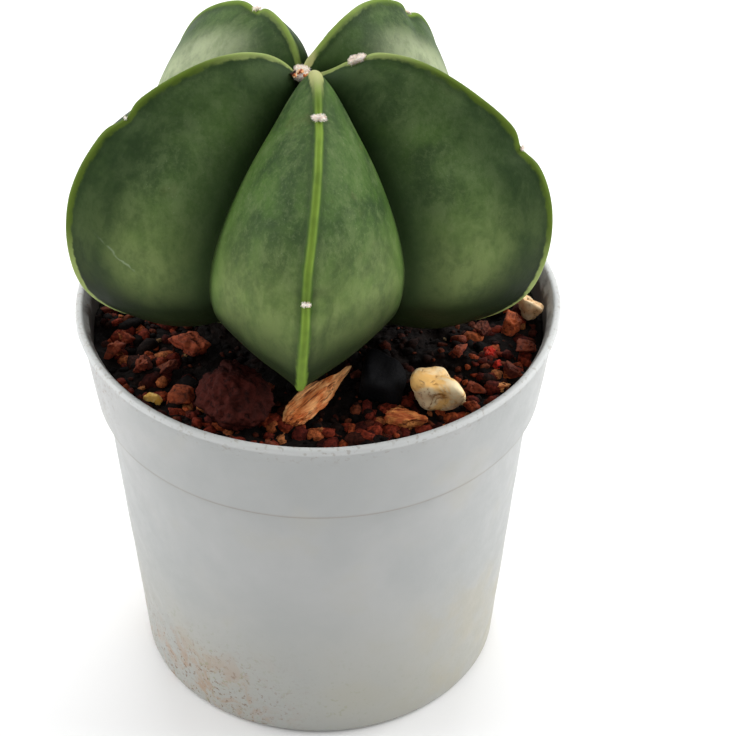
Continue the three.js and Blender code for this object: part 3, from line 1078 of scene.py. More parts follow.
class GrowthTree:
    """A Geometry Nodes tree with named inputs that grows small copies on a surface."""

    def __init__(self, name: str, *numbers: str) -> None:
        """Start a tree.

        Args:
            name: The tree's name.
            numbers: Names of its number inputs. A seed and a finish follow them.
        """
        self.group = bpy.data.node_groups.new(name, "GeometryNodeTree")
        face = self.group.interface
        face.new_socket("Geometry", in_out="INPUT", socket_type="NodeSocketGeometry")
        kinds = {**dict.fromkeys(numbers, "Float"), "Seed": "Int", "Finish": "Material"}
        self.keys = {
            label: face.new_socket(label, in_out="INPUT", socket_type=f"NodeSocket{kind}").identifier
            for label, kind in kinds.items()
        }
        face.new_socket("Geometry", in_out="OUTPUT", socket_type="NodeSocketGeometry")
        self.given = self.group.nodes.new("NodeGroupInput").outputs

    def node(self, kind: str, settings: dict[str, str] | None = None, **inputs: object) -> Node:
        """Add a node.

        Args:
            kind: The node's type.
            settings: Properties to set on it.
            inputs: Inputs to link or set, by name with underscores for spaces, or _N for input N.

        Returns:
            The node.
        """
        keyed = {
            int(name[1:]) if name[0] == "_" else name.replace("_", " "): value
            for name, value in inputs.items()
        }
        return add_node(self.group, kind, keyed, settings or {})

    def math(self, operation: str, *values: object) -> Node:
        """Work out a sum of numbers."""
        inputs = {f"_{i}": value for i, value in enumerate(values)}
        return self.node("ShaderNodeMath", {"operation": operation}, **inputs)

    def vector(self, operation: str, a: object, b: object = (0, 0, 0)) -> Node:
        """Work out a sum of two vectors; for SCALE, the second is a number."""
        last = "Scale" if operation == "SCALE" else "_1"
        return self.node("ShaderNodeVectorMath", {"operation": operation}, _0=a, **{last: b})

    def joined(self, x: object, y: object, z: object) -> Node:
        """Join three numbers into a vector."""
        return self.node("ShaderNodeCombineXYZ", X=x, Y=y, Z=z)

    def draw(self, low: object, high: object, step: float) -> Socket:
        """Draw a number or a vector for each element.

        Args:
            low: The lowest, as a number or three.
            high: The highest.
            step: Moves the seed on, so that draws differ.

        Returns:
            What was drawn.
        """
        seed = self.math("ADD", self.given["Seed"], step)
        if isinstance(high, tuple):
            settings, ends, out = {"data_type": "FLOAT_VECTOR"}, {"_0": low, "_1": high}, 0
        else:
            settings, ends, out = {"data_type": "FLOAT"}, {"_2": low, "_3": high}, 1
        return self.node("FunctionNodeRandomValue", settings, Seed=seed, **ends).outputs[out]

    def spread(self) -> Node:
        """Spread points over the given surface."""
        ground, density, seed = (self.given[name] for name in ("Geometry", "Density", "Seed"))
        return self.node("GeometryNodeDistributePointsOnFaces", Mesh=ground, Density=density, Seed=seed)

    def strewn(self, points: object, copy: object, turn: object, scale: object, low: float,
               step: float) -> Node:
        """Put a copy on each point, give each one a tint by chance and realize them all.

        Args:
            points: The points.
            copy: What is put on them.
            turn: The copies' turn.
            scale: The copies' size.
            low: The lowest tint; the highest is 1.
            step: Moves the tint's seed on.

        Returns:
            The realized copies.
        """
        kind = "GeometryNodeInstanceOnPoints"
        copies = self.node(kind, Points=points, Instance=copy, Rotation=turn, Scale=scale)
        tint = self.draw(low, 1.0, step)
        settings = {"data_type": "FLOAT", "domain": "INSTANCE"}
        kind = "GeometryNodeStoreNamedAttribute"
        tinted = self.node(kind, settings, Geometry=copies, Name="tint", Value=tint)
        return self.node("GeometryNodeRealizeInstances", Geometry=tinted)

    def finish(self, geometry: object) -> None:
        """Shade realized geometry smooth, give it the finish and end the tree.

        Args:
            geometry: The realized geometry.
        """
        smooth = self.node("GeometryNodeSetShadeSmooth", Geometry=geometry)
        dressed = self.node("GeometryNodeSetMaterial", Geometry=smooth, Material=self.given["Finish"])
        self.node("NodeGroupOutput", Geometry=dressed)

    def grow(self, piece: Piece, **values: object) -> Piece:
        """Run the tree on a piece and keep the result as plain mesh.

        Args:
            piece: The piece that the tree grows on.
            values: Inputs by name, with underscores for spaces.

        Returns:
            The same piece, with the grown mesh.
        """
        modifier = piece.modifiers.new("growth", "NODES")
        modifier.node_group = self.group
        for name, value in values.items():
            modifier[self.keys[name.replace("_", " ")]] = value
        return frozen(piece)


def crumb_tree() -> GrowthTree:
    """Build the tree that strews a surface with uneven crumbs of many sizes.

    Returns:
        The tree.
    """
    sizes = ("Density", "Smallest", "Largest", "Fewness of large", "Flatness", "Sink", "Unevenness")
    tree = GrowthTree("crumb_scatter", *sizes)
    given = tree.given
    cube_share, ball_share, bump_scale = 0.3, 0.42, 1100.0
    cube = tree.node("GeometryNodeMeshCube", Vertices_X=3, Vertices_Y=3, Vertices_Z=3)
    place = tree.node("GeometryNodeInputPosition")
    rounded = tree.vector("SCALE", tree.vector("NORMALIZE", place), ball_share)
    eased = tree.vector("ADD", tree.vector("SCALE", place, cube_share), rounded)
    crumb = tree.node("GeometryNodeSetPosition", Geometry=cube, Position=eased)
    drawn = tree.math("POWER", tree.draw(0.0, 1.0, 1), given["Fewness of large"])
    span = tree.math("SUBTRACT", given["Largest"], given["Smallest"])
    size = tree.math("MULTIPLY_ADD", drawn, span, given["Smallest"])
    shape = tree.draw((0.7, 0.6, 0.55), (1.35, 1.0, 0.95), 2)
    flat = tree.vector("MULTIPLY", shape, tree.joined(1.0, 1.0, given["Flatness"]))
    drop = tree.math("MULTIPLY", size, tree.math("MULTIPLY", given["Sink"], -1.0))
    points = tree.spread().outputs["Points"]
    sunk = tree.node("GeometryNodeSetPosition", Geometry=points, Offset=tree.joined(0.0, 0.0, drop))
    turn = tree.draw((-0.5, -0.5, 0), (0.5, 0.5, math.tau), 3)
    whole = tree.strewn(sunk, crumb, turn, tree.vector("SCALE", flat, size), 0.0, 4)
    bumps = tree.node("ShaderNodeTexNoise", Scale=bump_scale, Detail=2.0).outputs["Color"]
    push = tree.vector("SCALE", tree.vector("SUBTRACT", bumps, (0.5, 0.5, 0.5)), given["Unevenness"])
    tree.finish(tree.node("GeometryNodeSetPosition", Geometry=whole, Offset=push))
    return tree


def fibre_tree() -> GrowthTree:
    """Build the tree that grows bent, tapering fibres on a surface and keeps the surface.

    Returns:
        The tree.
    """
    tree = GrowthTree("fibre_growth", "Density", "Length", "Thickness", "Lean")
    given = tree.given
    taper = 0.75
    bend = {"Start": (0, 0, 0), "Middle": (0.08, 0, 0.65), "End": (0.5, 0.1, 0.95)}
    line = tree.node("GeometryNodeCurveQuadraticBezier", Resolution=4, **bend)
    part = tree.node("GeometryNodeSplineParameter").outputs["Factor"]
    radius = tree.math("SUBTRACT", 1.0, tree.math("MULTIPLY", part, taper))
    thin = tree.node("GeometryNodeSetCurveRadius", Curve=line, Radius=radius)
    ring = tree.node("GeometryNodeCurvePrimitiveCircle", Resolution=3, Radius=given["Thickness"])
    strand = tree.node("GeometryNodeCurveToMesh", Curve=thin, Profile_Curve=ring, Fill_Caps=True)
    spread = tree.spread()
    spin = tree.draw((-1, -1, 0), (1, 1, math.tau), 1)
    lean = tree.vector("MULTIPLY", spin, tree.joined(given["Lean"], given["Lean"], 1.0))
    turn = tree.node(
        "FunctionNodeRotateRotation",
        {"rotation_space": "LOCAL"},
        Rotation=spread.outputs["Rotation"],
        Rotate_By=tree.node("FunctionNodeEulerToRotation", Euler=lean),
    )
    reach = tree.math("MULTIPLY", given["Length"], tree.draw(0.45, 1.0, 2))
    whole = tree.strewn(spread, strand, turn, reach, 0.25, 3)
    joined = tree.node("GeometryNodeJoinGeometry", Geometry=whole)
    feed(tree.group, joined.inputs[0], given["Geometry"])
    tree.finish(joined)
    return tree


# Pot ----------------------------------


@dataclass
class NurseryPot:
    """The tapered plastic pot: foot ring, wall, stepped collar, rounded lip and drain holes."""

    rim_width: float = 0.85
    lip_height: float = 0.8
    collar_top_radius: float = 27.0
    collar_foot_radius: float = 25.65
    collar_foot_height: float = 37.4
    body_top_radius: float = 24.6
    foot_radius: float = 21.2
    foot_round: float = 0.9
    foot_ring: float = 2.6
    foot_recess: float = 0.6
    wall: float = 0.85
    floor: float = 1.1
    drain_holes: int = 6
    drain_radius: float = 2.2
    drain_circle: float = 12.5
    sides: int = 288
    axis_gap: float = 0.6
    lip_round: float = 0.4
    edge_round: float = 0.22
    crease_round: float = 0.3
    neck_round: float = 0.25
    step: float = 1.3
    unevenness: float = 0.07
    unevenness_size: float = 9.0
    sharp_angle: float = 50.0
    drill_sides: int = 32
    height: float = field(init=False)
    rim_radius: float = field(init=False)

    def __post_init__(self) -> None:
        """Take the height and the rim's radius from the frame."""
        low, high = node_box("pot")
        self.height = float(high[2] - low[2])
        self.rim_radius = float((high[0] - low[0]) / 2)

    def inside_radius(self, height: float) -> float:
        """Give the radius of the hollow at a height.

        Args:
            height: Height over the floor that the pot stands on.

        Returns:
            The radius in millimetres.
        """
        if height > self.collar_foot_height + self.wall:
            rise = (height - self.collar_foot_height) / (self.height - self.collar_foot_height)
            outside = self.collar_foot_radius + (self.collar_top_radius - self.collar_foot_radius) * rise
        else:
            rise = height / self.collar_foot_height
            outside = self.foot_radius + (self.body_top_radius - self.foot_radius) * rise
        return outside - self.wall

    @staticmethod
    def arc(middle: tuple[float, float], radius: float, start: float, end: float,
            steps: int) -> Array:
        """Draw an arc of the wall's section.

        Args:
            middle: Radius and height of its middle.
            radius: Its own radius.
            start: Angle where it starts, in degrees from outwards.
            end: Angle where it ends.
            steps: Number of points.

        Returns:
            Rows of radius and height.
        """
        angles = np.radians(np.linspace(start, end, steps))
        return np.stack([middle[0] + radius * np.cos(angles), middle[1] + radius * np.sin(angles)], 1)

    def section(self) -> Array:
        """Draw the wall's section from the underside's middle round the lip to the inside floor.

        Returns:
            Rows of radius and height, with long runs divided.
        """
        ring_inside = self.foot_radius - self.foot_ring
        foot, crease, collar = self.foot_round, self.crease_round, self.collar_foot_height
        lip, edge, neck_round = self.lip_round, self.edge_round, self.neck_round
        neck = self.height - self.lip_height
        step = collar + self.wall
        runs = [
            [[self.axis_gap, self.foot_recess], [ring_inside - self.foot_recess, self.foot_recess]],
            [[ring_inside - 0.15, 0.08], [ring_inside + 0.1, 0.0]],
            self.arc((self.foot_radius - foot, foot), foot, -90, 0, 8),
            [[self.body_top_radius - 0.02, collar - 0.35]],
            self.arc((self.body_top_radius + crease, collar - crease), crease, 180, 90, 5),
            self.arc((self.collar_foot_radius - edge, collar + edge), edge, -90, 0, 6),
            [[self.collar_top_radius - 0.02, neck - 0.35]],
            self.arc((self.rim_radius - neck_round, neck + neck_round), neck_round, -90, 0, 6),
            self.arc((self.rim_radius - lip, self.height - lip), lip, 0, 90, 7),
            self.arc((self.rim_radius - self.rim_width + lip * 0.8, self.height - lip), lip, 90, 180, 6),
            [[self.inside_radius(neck), neck - 0.4]],
            [[self.inside_radius(step + 0.4), step + 0.4], [self.inside_radius(step - 0.01), step - 0.1]],
            self.arc((self.foot_radius - 2 * self.wall, self.floor + self.wall), self.wall, 0, -90, 6),
            [[self.axis_gap, self.floor]],
        ]
        corners = np.vstack(runs)
        points = [corners[0]]
        for a, b in zip(corners[:-1], corners[1:]):
            pieces = max(1, round(float(np.linalg.norm(b - a)) / self.step))
            points.extend(a + (b - a) * (k / pieces) for k in range(1, pieces + 1))
        return np.array(points)

    def build(self) -> Piece:
        """Turn the section round and drill the drain holes.

        Returns:
            The pot.
        """
        section = self.section()
        angles = np.linspace(0, math.tau, self.sides, endpoint=False)
        swirl = np.stack([np.cos(angles), np.sin(angles)], 1)
        rings = np.zeros((len(section), self.sides, 3))
        rings[:, :, :2] = section[:, None, 0:1] * swirl[None]
        rings[:, :, 2] = section[:, None, 1]
        flat = rings.reshape(-1, 3)
        push = self.unevenness * rough(flat, self.unevenness_size, 2, 3.0) * smooth_step(1.0, 6.0, flat[:, 2])
        flat[:, :2] += push[:, None] * unit(flat[:, :2])
        flat[:, :2] *= min(1.0, self.rim_radius / np.abs(flat[:, :2]).max())
        points, faces = capped_skin(
            flat.reshape(rings.shape), np.array([0, 0, self.foot_recess]), np.array([0, 0, self.floor])
        )
        pot = new_piece("detailed_pot", points, faces)
        drill = self.drill_set()
        cut = pot.modifiers.new("drain_holes", "BOOLEAN")
        cut.operation = "DIFFERENCE"
        cut.solver = "EXACT"
        cut.object = drill
        frozen(pot)
        bpy.data.objects.remove(drill)
        pot.data.shade_smooth()
        pot.data.set_sharp_from_angle(angle=math.radians(self.sharp_angle))
        return pot

    def drill_set(self) -> Piece:
        """Make the round cutters for the drain holes.

        Returns:
            The cutters as one object.
        """
        sides = self.drill_sides
        points: list[Array] = []
        faces: Faces = []
        turn = np.linspace(0, math.tau, sides, endpoint=False)
        for hole in range(self.drain_holes):
            angle = (hole + 0.5) / self.drain_holes * math.tau
            middle = self.drain_circle * np.array([math.cos(angle), math.sin(angle)])
            ring = middle + self.drain_radius * np.stack([np.cos(turn), np.sin(turn)], 1)
            first = sum(len(p) for p in points)
            for level in (-1.0, 2 * self.floor):
                points.append(np.column_stack([ring, np.full(sides, level)]))
            faces.extend(band_faces(2, sides, first))
            faces.append(tuple(range(first + sides - 1, first - 1, -1)))
            faces.append(tuple(range(first + sides, first + 2 * sides)))
        return new_piece("drain_drills", np.vstack(points), faces)

    def dress(self, pot: Piece) -> None:
        """Give the pot its plastic and settle it."""
        settle(pot, ["pot"], PotPlastic().make())


# Potting mix --------------------------


@dataclass(frozen=True)
class LooseKind:
    """One kind of loose matter: how many lie on a square metre, their sizes, shape and finish.

    The larger fewness_of_large is, the fewer of the grains are large. Sink is a share of a grain's
    size, unevenness is in millimetres, and inner is the radius about the pot's axis that is kept
    free, for the foot of the stem or its shade.
    """

    name: str
    density: float
    smallest: float
    largest: float
    fewness_of_large: float
    flatness: float
    sink: float
    unevenness: float
    seed: int
    inner: float
    finish: CrumbFinish


PEAT_CRUMBS = CrumbFinish(
    "peat_crumb_finish",
    ((0.0, "0d0807"), (0.45, "180f0c"), (0.72, "311810"), (0.88, "562418"), (1.0, "7b3e26")),
)
RED_GRIT = CrumbFinish(
    "red_grit_finish",
    ((0.0, "2e0e0a"), (0.35, "642218"), (0.65, "963a24"), (0.88, "b4562e"), (1.0, "c67e4c")),
    0.88,
)
PALE_GRIT = CrumbFinish("pale_grit_finish", ((0.0, "8f6a44"), (0.6, "b18c5e"), (1.0, "cdb38a")), 0.85)


@dataclass
class PottingMix:
    """The peat bed with its loose crumbs, grit and pale grains."""

    pot: NurseryPot
    undulation: float = 0.45
    highest_swell: float = 1.56
    roughness: float = 0.55
    fine_roughness: float = 0.18
    bump_size: float = 3.2
    fine_bump_size: float = 0.9
    wall_gap: float = 0.12
    bottom: float = 1.4
    stem_radius: float = 5.0
    pocket_depth: float = 6.6
    pocket_slope: float = 1.2
    stem_place: tuple[float, float] = (-2.35, -1.0)
    rings: int = 96
    loose_rings: int = 40
    around: int = 300
    bed_seed: float = 5.0
    kinds: tuple[LooseKind, ...] = (
        LooseKind("peat_crumbs", 8.0e5, 0.35, 1.3, 2.2, 0.9, 0.05, 0.55, 21, 4.5, PEAT_CRUMBS),
        LooseKind("coarse_crumbs", 4.5e4, 1.4, 2.6, 1.6, 0.75, 0.1, 0.9, 22, 4.5, PEAT_CRUMBS),
        # The red grit keeps 16.5 mm clear of the axis, so the dark peat there stands for the stem's shadow:
        # painted shade.
        LooseKind("red_grit", 4.0e5, 0.8, 2.0, 1.5, 0.85, 0.05, 0.8, 23, 16.5, RED_GRIT),
        LooseKind("pale_grit", 1.0e4, 0.5, 1.1, 1.5, 0.8, 0.0, 0.4, 24, 4.5, PALE_GRIT),
    )
    level: float = field(init=False)

    def __post_init__(self) -> None:
        """Take the level from the frame, whose top is the bed's highest swell."""
        self.level = float(node_box("soil")[1][2]) - self.highest_swell * self.undulation

    def height(self, x: Array, y: Array) -> Array:
        """Give the bed's smooth height at places.

        Args:
            x: Distances along X.
            y: Distances along Y.

        Returns:
            Heights in millimetres.
        """
        wave = np.sin(0.55 * x + 1.2) * np.cos(0.48 * y - 0.4) + 0.6 * np.sin(0.9 * y + 0.5 * x)
        return self.level + self.undulation * wave

    def surface(self, radii: Array) -> Array:
        """Make the rough top of the bed over rings of the given radii.

        Args:
            radii: Radii of the rings about the pot's axis.

        Returns:
            Points by ring, by place around, by axis.
        """
        angles = np.linspace(0, math.tau, self.around, endpoint=False)
        grid = np.zeros((len(radii), self.around, 3))
        grid[:, :, 0] = radii[:, None] * np.cos(angles)
        grid[:, :, 1] = radii[:, None] * np.sin(angles)
        flat = grid.reshape(-1, 3)
        flat[:, 2] = self.height(flat[:, 0], flat[:, 1])
        coarse = self.roughness * rough(flat, self.bump_size, 4, self.bed_seed)
        fine = self.fine_roughness * rough(flat, self.fine_bump_size, 2, self.bed_seed + 1)
        flat[:, 2] += coarse + fine
        off = np.hypot(flat[:, 0] - self.stem_place[0], flat[:, 1] - self.stem_place[1])
        inner = self.stem_radius - self.pocket_slope
        flat[:, 2] -= self.pocket_depth * smooth_step(self.stem_radius, inner, off)
        return flat.reshape(grid.shape)

    def build_bed(self) -> Piece:
        """Build the whole body of peat, from the pot's floor to the rough top.

        Returns:
            The bed.
        """
        edge = self.pot.inside_radius(self.level) - self.wall_gap
        radii = np.linspace(edge, 0.25, self.rings)
        top = self.surface(radii)
        collar = self.pot.collar_foot_height
        heights = [self.bottom, 20.0, collar - 0.5, collar + 1.5, self.level - 1]
        angles = np.linspace(0, math.tau, self.around, endpoint=False)
        sides = np.array([
            [[r * math.cos(a), r * math.sin(a), z] for a in angles]
            for z in heights
            for r in [self.pot.inside_radius(z) - 0.3 - (0.9 if z == self.bottom else 0)]
        ])
        middle = top[-1].mean(0)
        foot = np.array([0, 0, self.bottom])
        return new_piece("detailed_soil", *capped_skin(np.concatenate([sides, top]), foot, middle))

    def build_loose(self) -> list[Piece]:
        """Strew the bed with crumbs, grit and pale grains.

        Returns:
            One piece for each kind.
        """
        tree = crumb_tree()
        finishes = [kind.finish.make() for kind in self.kinds]
        return [self.strewn(tree, kind, finish) for kind, finish in zip(self.kinds, finishes)]

    def strewn(self, tree: GrowthTree, kind: LooseKind, finish: Material) -> Piece:
        """Strew one kind of loose matter over the part of the top that it lies on.

        Args:
            tree: The tree that strews it.
            kind: The kind.
            finish: Its finish.

        Returns:
            The loose matter as one piece.
        """
        edge = self.pot.inside_radius(self.level) - (0.45 + kind.largest * 0.45)
        grid = self.surface(np.linspace(edge, kind.inner, self.loose_rings))
        faces = band_faces(self.loose_rings, self.around)
        return tree.grow(
            new_piece(kind.name, grid.reshape(-1, 3), faces),
            Density=kind.density,
            Smallest=kind.smallest * MM,
            Largest=kind.largest * MM,
            Fewness_of_large=kind.fewness_of_large,
            Flatness=kind.flatness,
            Sink=kind.sink,
            Unevenness=kind.unevenness * MM,
            Seed=kind.seed,
            Finish=finish,
        )

    def dress(self, bed: Piece, loose: list[Piece]) -> None:
        """Give the bed its peat and settle every piece.

        Args:
            bed: The bed.
            loose: The loose matter on it.
        """
        settle(bed, ["soil"], PeatFinish().make())
        for piece in loose:
            settle(piece)


# Stem ---------------------------------


@dataclass(frozen=True)
class Rib:
    """One rib, and its size against the mean rib.

    Heading and turn are in degrees, and turn is what its crest swings by on the way down. Reach and
    rise are its breadth and height, cut is the reach of the furrow after it, under its faces' bulge
    below the waist, and dip the millimetres that its crest sinks by the crown. Areoles are places on
    its crest, from 0 at the crown to 1 at the foot, and tufts the sizes of their wool. Margin is how
    much painted shade its faces' margins take, where 0 gives them painted light by the furrows
    instead, and young the place down to which its crest is broad and pale.
    """

    name: str
    heading: float
    turn: float
    reach: float
    rise: float
    cut: float
    under: float
    dip: float
    areoles: tuple[float, ...]
    tufts: tuple[float, ...]
    margin: float
    young: float


@dataclass
class StarStem:
    """The five-ribbed stem, with a corded crest on each rib and a creased furrow between ribs."""

    ribs: tuple[Rib, ...] = (
        Rib("front", -87.7, -2.6, 0.985, 1.0, 0.94, -0.13, 0.9, (0.265, 0.49), (1.0, 0.66), 0.0, 0.25),
        Rib("right", -15.9, 0.0, 1.005, 0.998, 1.0, 0.08, 0.9, (0.14, 0.395), (1.05, 0.6), 1.0, 0.08),
        Rib("back_right", 52.3, 0.6, 0.921, 1.021, 1.0, 0.08, 0.0, (0.325, 0.54), (0.6, 0.5), 0.4, 0.07),
        Rib("back_left", 124.0, 2.1, 0.956, 0.985, 1.0, 0.08, 0.0, (0.24, 0.5), (0.7, 0.5), 0.4, 0.06),
        Rib("left", 200.4, 0.0, 0.995, 0.99, 1.0, 0.08, 0.0, (0.355, 0.72), (0.4, 0.35), 1.0, 0.07),
    )
    crest_outline: Outline = (
        (0, 34.3), (2.4, 36.8), (6, 38.8), (11, 39.0), (18.1, 36.1), (23.4, 31.8), (26.8, 25.6),
        (27.4, 19), (25.5, 12.5), (20.8, 8.2), (14.5, 6.2), (9.2, 4.4), (6.4, 1.2), (5.6, -4.6),
    )
    furrow_outline: Outline = (
        (0, 34.3), (1.7, 34.4), (4, 33.3), (7.2, 32), (11.4, 29.7), (14.7, 26.8), (17.3, 23.2),
        (18.8, 19), (18.2, 14.4), (14.8, 11.4), (10.2, 9.6), (6.8, 7.4), (5.4, 3.2), (4.8, -4.6),
    )
    lean: tuple[float, float] = (-2.1, 3.1)
    buried: float = 4.8
    heart_height: float = 19.0
    crown: tuple[float, float] = (-1.1, 0.3)
    crown_spread: float = 0.09
    dip_at: float = 0.077
    dip_spread: float = 0.05
    turn_start: float = 0.25
    turn_end: float = 0.5
    bulge_over: float = 0.1
    waist: float = 0.45
    notch_depth: float = 0.8
    notch_length: float = 0.018
    cord_radius: float = 0.46
    cord_sink: float = 0.84
    cord_unevenness: float = 0.35
    cord_start: float = 0.2
    cord_grown: float = 0.07
    cord_grain: float = 9.0
    cord_edges: tuple[float, float] = (1.75, 0.85)
    areole_gap: float = 0.6
    young_width: float = 0.65
    young_ease: float = 0.7
    # Faces that take the painted sheen, by rib and neighbour.
    painted_sheen_faces: tuple[tuple[str, str], ...] = (("back_left", "left"), ("back_right", "right"))
    crease_depth: float = 0.45
    crease_width: float = 0.7
    waviness: float = 0.13
    wave_grain: float = 14.0
    swell: float = 0.13
    swell_size: float = 8.0
    rows: int = 210
    across: int = 40
    sampling: float = 0.01

    @property
    def heart(self) -> Array:
        """Give a point inside the stem that every face looks away from."""
        return np.array([0, 0, self.heart_height])

    def swing(self, outline: Outline, along: Array, heading: Array, reach: float,
              rise: float) -> Array:
        """Follow a half outline and swing it to a heading.

        Args:
            outline: The outline's distances from the axis and heights.
            along: Places on it, from 0 at the crown to 1.
            heading: Heading in degrees, for each place.
            reach: Scale of the distances.
            rise: Scale of the heights.

        Returns:
            One point for each place, in the plant's own axes.
        """
        flat = curve_through(np.array(outline, float), along)
        angle = np.radians(heading)
        out = flat[:, 0] * reach
        aside = np.exp(-((along / self.crown_spread) ** 2))
        x = out * np.cos(angle) + aside * self.crown[0]
        y = out * np.sin(angle) + aside * self.crown[1]
        return np.stack([x, y, flat[:, 1] * rise], 1)

    def crest(self, rib: Rib, along: Array) -> Array:
        """Follow a rib's crest.

        Args:
            rib: The rib.
            along: Places on it, from 0 at the crown to 1.

        Returns:
            One point for each place.
        """
        heading = rib.heading + rib.turn * smooth_step(self.turn_start, self.turn_end, along)
        points = self.swing(self.crest_outline, along, heading, rib.reach, rib.rise)
        points[:, 2] -= rib.dip * np.exp(-(((along - self.dip_at) / self.dip_spread) ** 2))
        return points

    def furrow(self, rib: Rib, other: Rib, along: Array) -> Array:
        """Follow the furrow halfway between two ribs.

        Args:
            rib: One rib.
            other: Its neighbour.
            along: Places on it, from 0 at the crown to 1.

        Returns:
            One point for each place.
        """
        between = (other.heading - rib.heading + 180) % 360 - 180
        reach = (rib.cut if between > 0 else other.cut) * (rib.reach + other.reach) / 2
        heading = np.full(len(along), rib.heading + between / 2)
        return self.swing(self.furrow_outline, along, heading, reach, (rib.rise + other.rise) / 2)

    def face_bulge(self, rib: Rib, along: Array) -> Array:
        """Give the bulge of a rib's faces as a share of their breadth."""
        return self.bulge_over + (rib.under - self.bulge_over) * smooth_step(self.waist, 1.0, along)

    def notch(self, rib: Rib, along: Array) -> Array:
        """Give how far the crest dips at its areoles, from 0 to 1."""
        dips = [np.exp(-(((along - place) / self.notch_length) ** 2)) for place in rib.areoles]
        return np.max(dips, axis=0)

    def face_normals(self, rib: Rib, other: Rib, along: Array) -> Array:
        """Find the outward direction of the face between a crest and a furrow.

        Args:
            rib: The rib whose crest bounds the face.
            other: The neighbour on that side.
            along: Rows, from 0 at the crown to 1 at the foot.

        Returns:
            One direction for each row.
        """
        before, after = (
            (self.crest(rib, place) + self.furrow(rib, other, place)) / 2
            for place in (np.maximum(along - self.sampling, 0), np.minimum(along + self.sampling, 1))
        )
        crest = self.crest(rib, along)
        outward = unit(np.cross(self.furrow(rib, other, along) - crest, after - before))
        sign = np.sign(np.einsum("ij,ij->i", outward, crest - self.heart))
        return outward * np.where(sign == 0, 1, sign)[:, None]

    def crest_outward(self, rib: Rib, along: Array) -> Array:
        """Find the direction straight out of a crest.

        Args:
            rib: The rib.
            along: Places on its crest, from 0 at the crown to 1.

        Returns:
            One direction for each place.
        """
        moves = (-self.sampling, self.sampling)
        before, after = (self.crest(rib, np.clip(along + move, 0, 1)) for move in moves)
        outward = unit(np.cross(after - before, self.sideways(rib)))
        away = np.einsum("ij,ij->i", outward, before - self.heart) > 0
        return outward * np.where(away, 1, -1)[:, None]

    def sideways(self, rib: Rib) -> Array:
        """Give the level direction across a rib."""
        angle = math.radians(rib.heading)
        return np.array([-math.sin(angle), math.cos(angle), 0.0])

    def cord(self, rib: Rib, along: Array, young: Array) -> Array:
        """Size the cord on a crest: uneven, thin at the crown and the areoles, broad when young.

        Args:
            rib: The rib.
            along: Places on its crest, from 0 at the crown to 1.
            young: How young the crest is there, from 0 to 1.

        Returns:
            One radius for each place.
        """
        line = np.stack([along * self.cord_grain, along * 0, along * 0 + rib.heading], 1)
        size = 1 + self.cord_unevenness * rough(line, 1.0, 2, 2.0)
        grown = self.cord_start + (1 - self.cord_start) * smooth_step(0.0, self.cord_grown, along)
        fade = grown * (1 - self.areole_gap * self.notch(rib, along))
        return self.cord_radius * size * fade * (1 + self.young_width * young)

    def corded(self, points: Array, crest: Array, outward: Array, across: Array,
               radius: Array) -> Array:
        """Round the crest into a cord.

        Args:
            points: The face's points, by row and place across.
            crest: The crest's points, by row.
            outward: The direction straight out of the crest, by row.
            across: The level direction across the rib.
            radius: The cord's radius, by row.

        Returns:
            The points, with those beside the crest raised to the cord's round back.
        """
        arm = points - crest[:, None]
        aside = np.abs(arm @ across) / radius[:, None]
        depth = -np.einsum("ijk,ik->ij", arm, outward)
        back = (np.sqrt(np.maximum(1 - aside**2, 0)) - self.cord_sink) * radius[:, None]
        stand = np.maximum(back + depth, 0) * smooth_step(*self.cord_edges, aside)
        return points + pushed(outward, stand)

    def painted_sheen(self, rib: Rib, other: Rib, along: Array, across: Array) -> Array:
        """Find the painted sheen on the face between a crest and a furrow: pale colour for a grazing
        reflection.

        Args:
            rib: The rib whose crest bounds the face.
            other: The neighbour on that side.
            along: Rows, from 0 at the crown to 1 at the foot.
            across: Places across, from 0 at the crest to 1 at the furrow.

        Returns:
            How much painted sheen there is, by row and place, from 0 to 1.
        """
        there = (rib.name, other.name) in self.painted_sheen_faces
        level = there * smooth_step(0.2, 0.52, across) * smooth_step(1.0, 0.85, across)
        return level * (smooth_step(0.17, 0.33, along) * smooth_step(0.8, 0.5, along))[:, None]

    def face(self, rib: Rib, other: Rib, along: Array, across: Array) -> dict[str, Array]:
        """Work out the face between a crest and a furrow.

        Args:
            rib: The rib whose crest bounds the face.
            other: The neighbour on that side.
            along: Rows, from 0 at the crown to 1 at the foot.
            across: Places across, from 0 at the crest to 1 at the furrow.

        Returns:
            The points and the values that the skin's material reads, each by row and place.
        """
        crest, furrow = self.crest(rib, along), self.furrow(rib, other, along)
        chord = furrow - crest
        length = np.linalg.norm(chord, axis=1)
        outward = self.face_normals(rib, other, along)
        gap = across[None] * length[:, None]
        far_gap = (1 - across[None]) * length[:, None]
        arch = np.sin(math.pi * across)[None]
        stand = (self.face_bulge(rib, along) * length)[:, None] * arch
        points = crest[:, None] + chord[:, None] * across[None, :, None] + pushed(outward, stand)
        young = smooth_step(rib.young, self.young_ease * rib.young, along)
        cord = self.cord(rib, along, young)
        points = self.corded(points, crest, self.crest_outward(rib, along), self.sideways(rib), cord)
        dip = self.notch_depth * self.notch(rib, along)[:, None] * (1 - across[None]) ** 4
        points += pushed(unit(self.heart - crest), dip)
        crease = self.crease_depth * np.exp(-((far_gap / self.crease_width) ** 2))
        points += pushed(unit(self.heart - furrow), crease * smooth_step(0, 0.12, along)[:, None])
        line = np.stack([along * self.wave_grain, along * 0 + rib.heading, along * 0], 1)
        wave = self.waviness * rough(line, 1.0, 2, 4.0)
        wave *= smooth_step(0.02, 0.1, along)
        points += self.sideways(rib) * (wave[:, None] * (1 - across[None]) ** 6)[:, :, None]
        uneven = rough(points.reshape(-1, 3), self.swell_size, 2, 6.0) * self.swell
        uneven = uneven.reshape(gap.shape) * arch * smooth_step(0.0, 0.1, along)[:, None]
        points += pushed(outward, uneven)
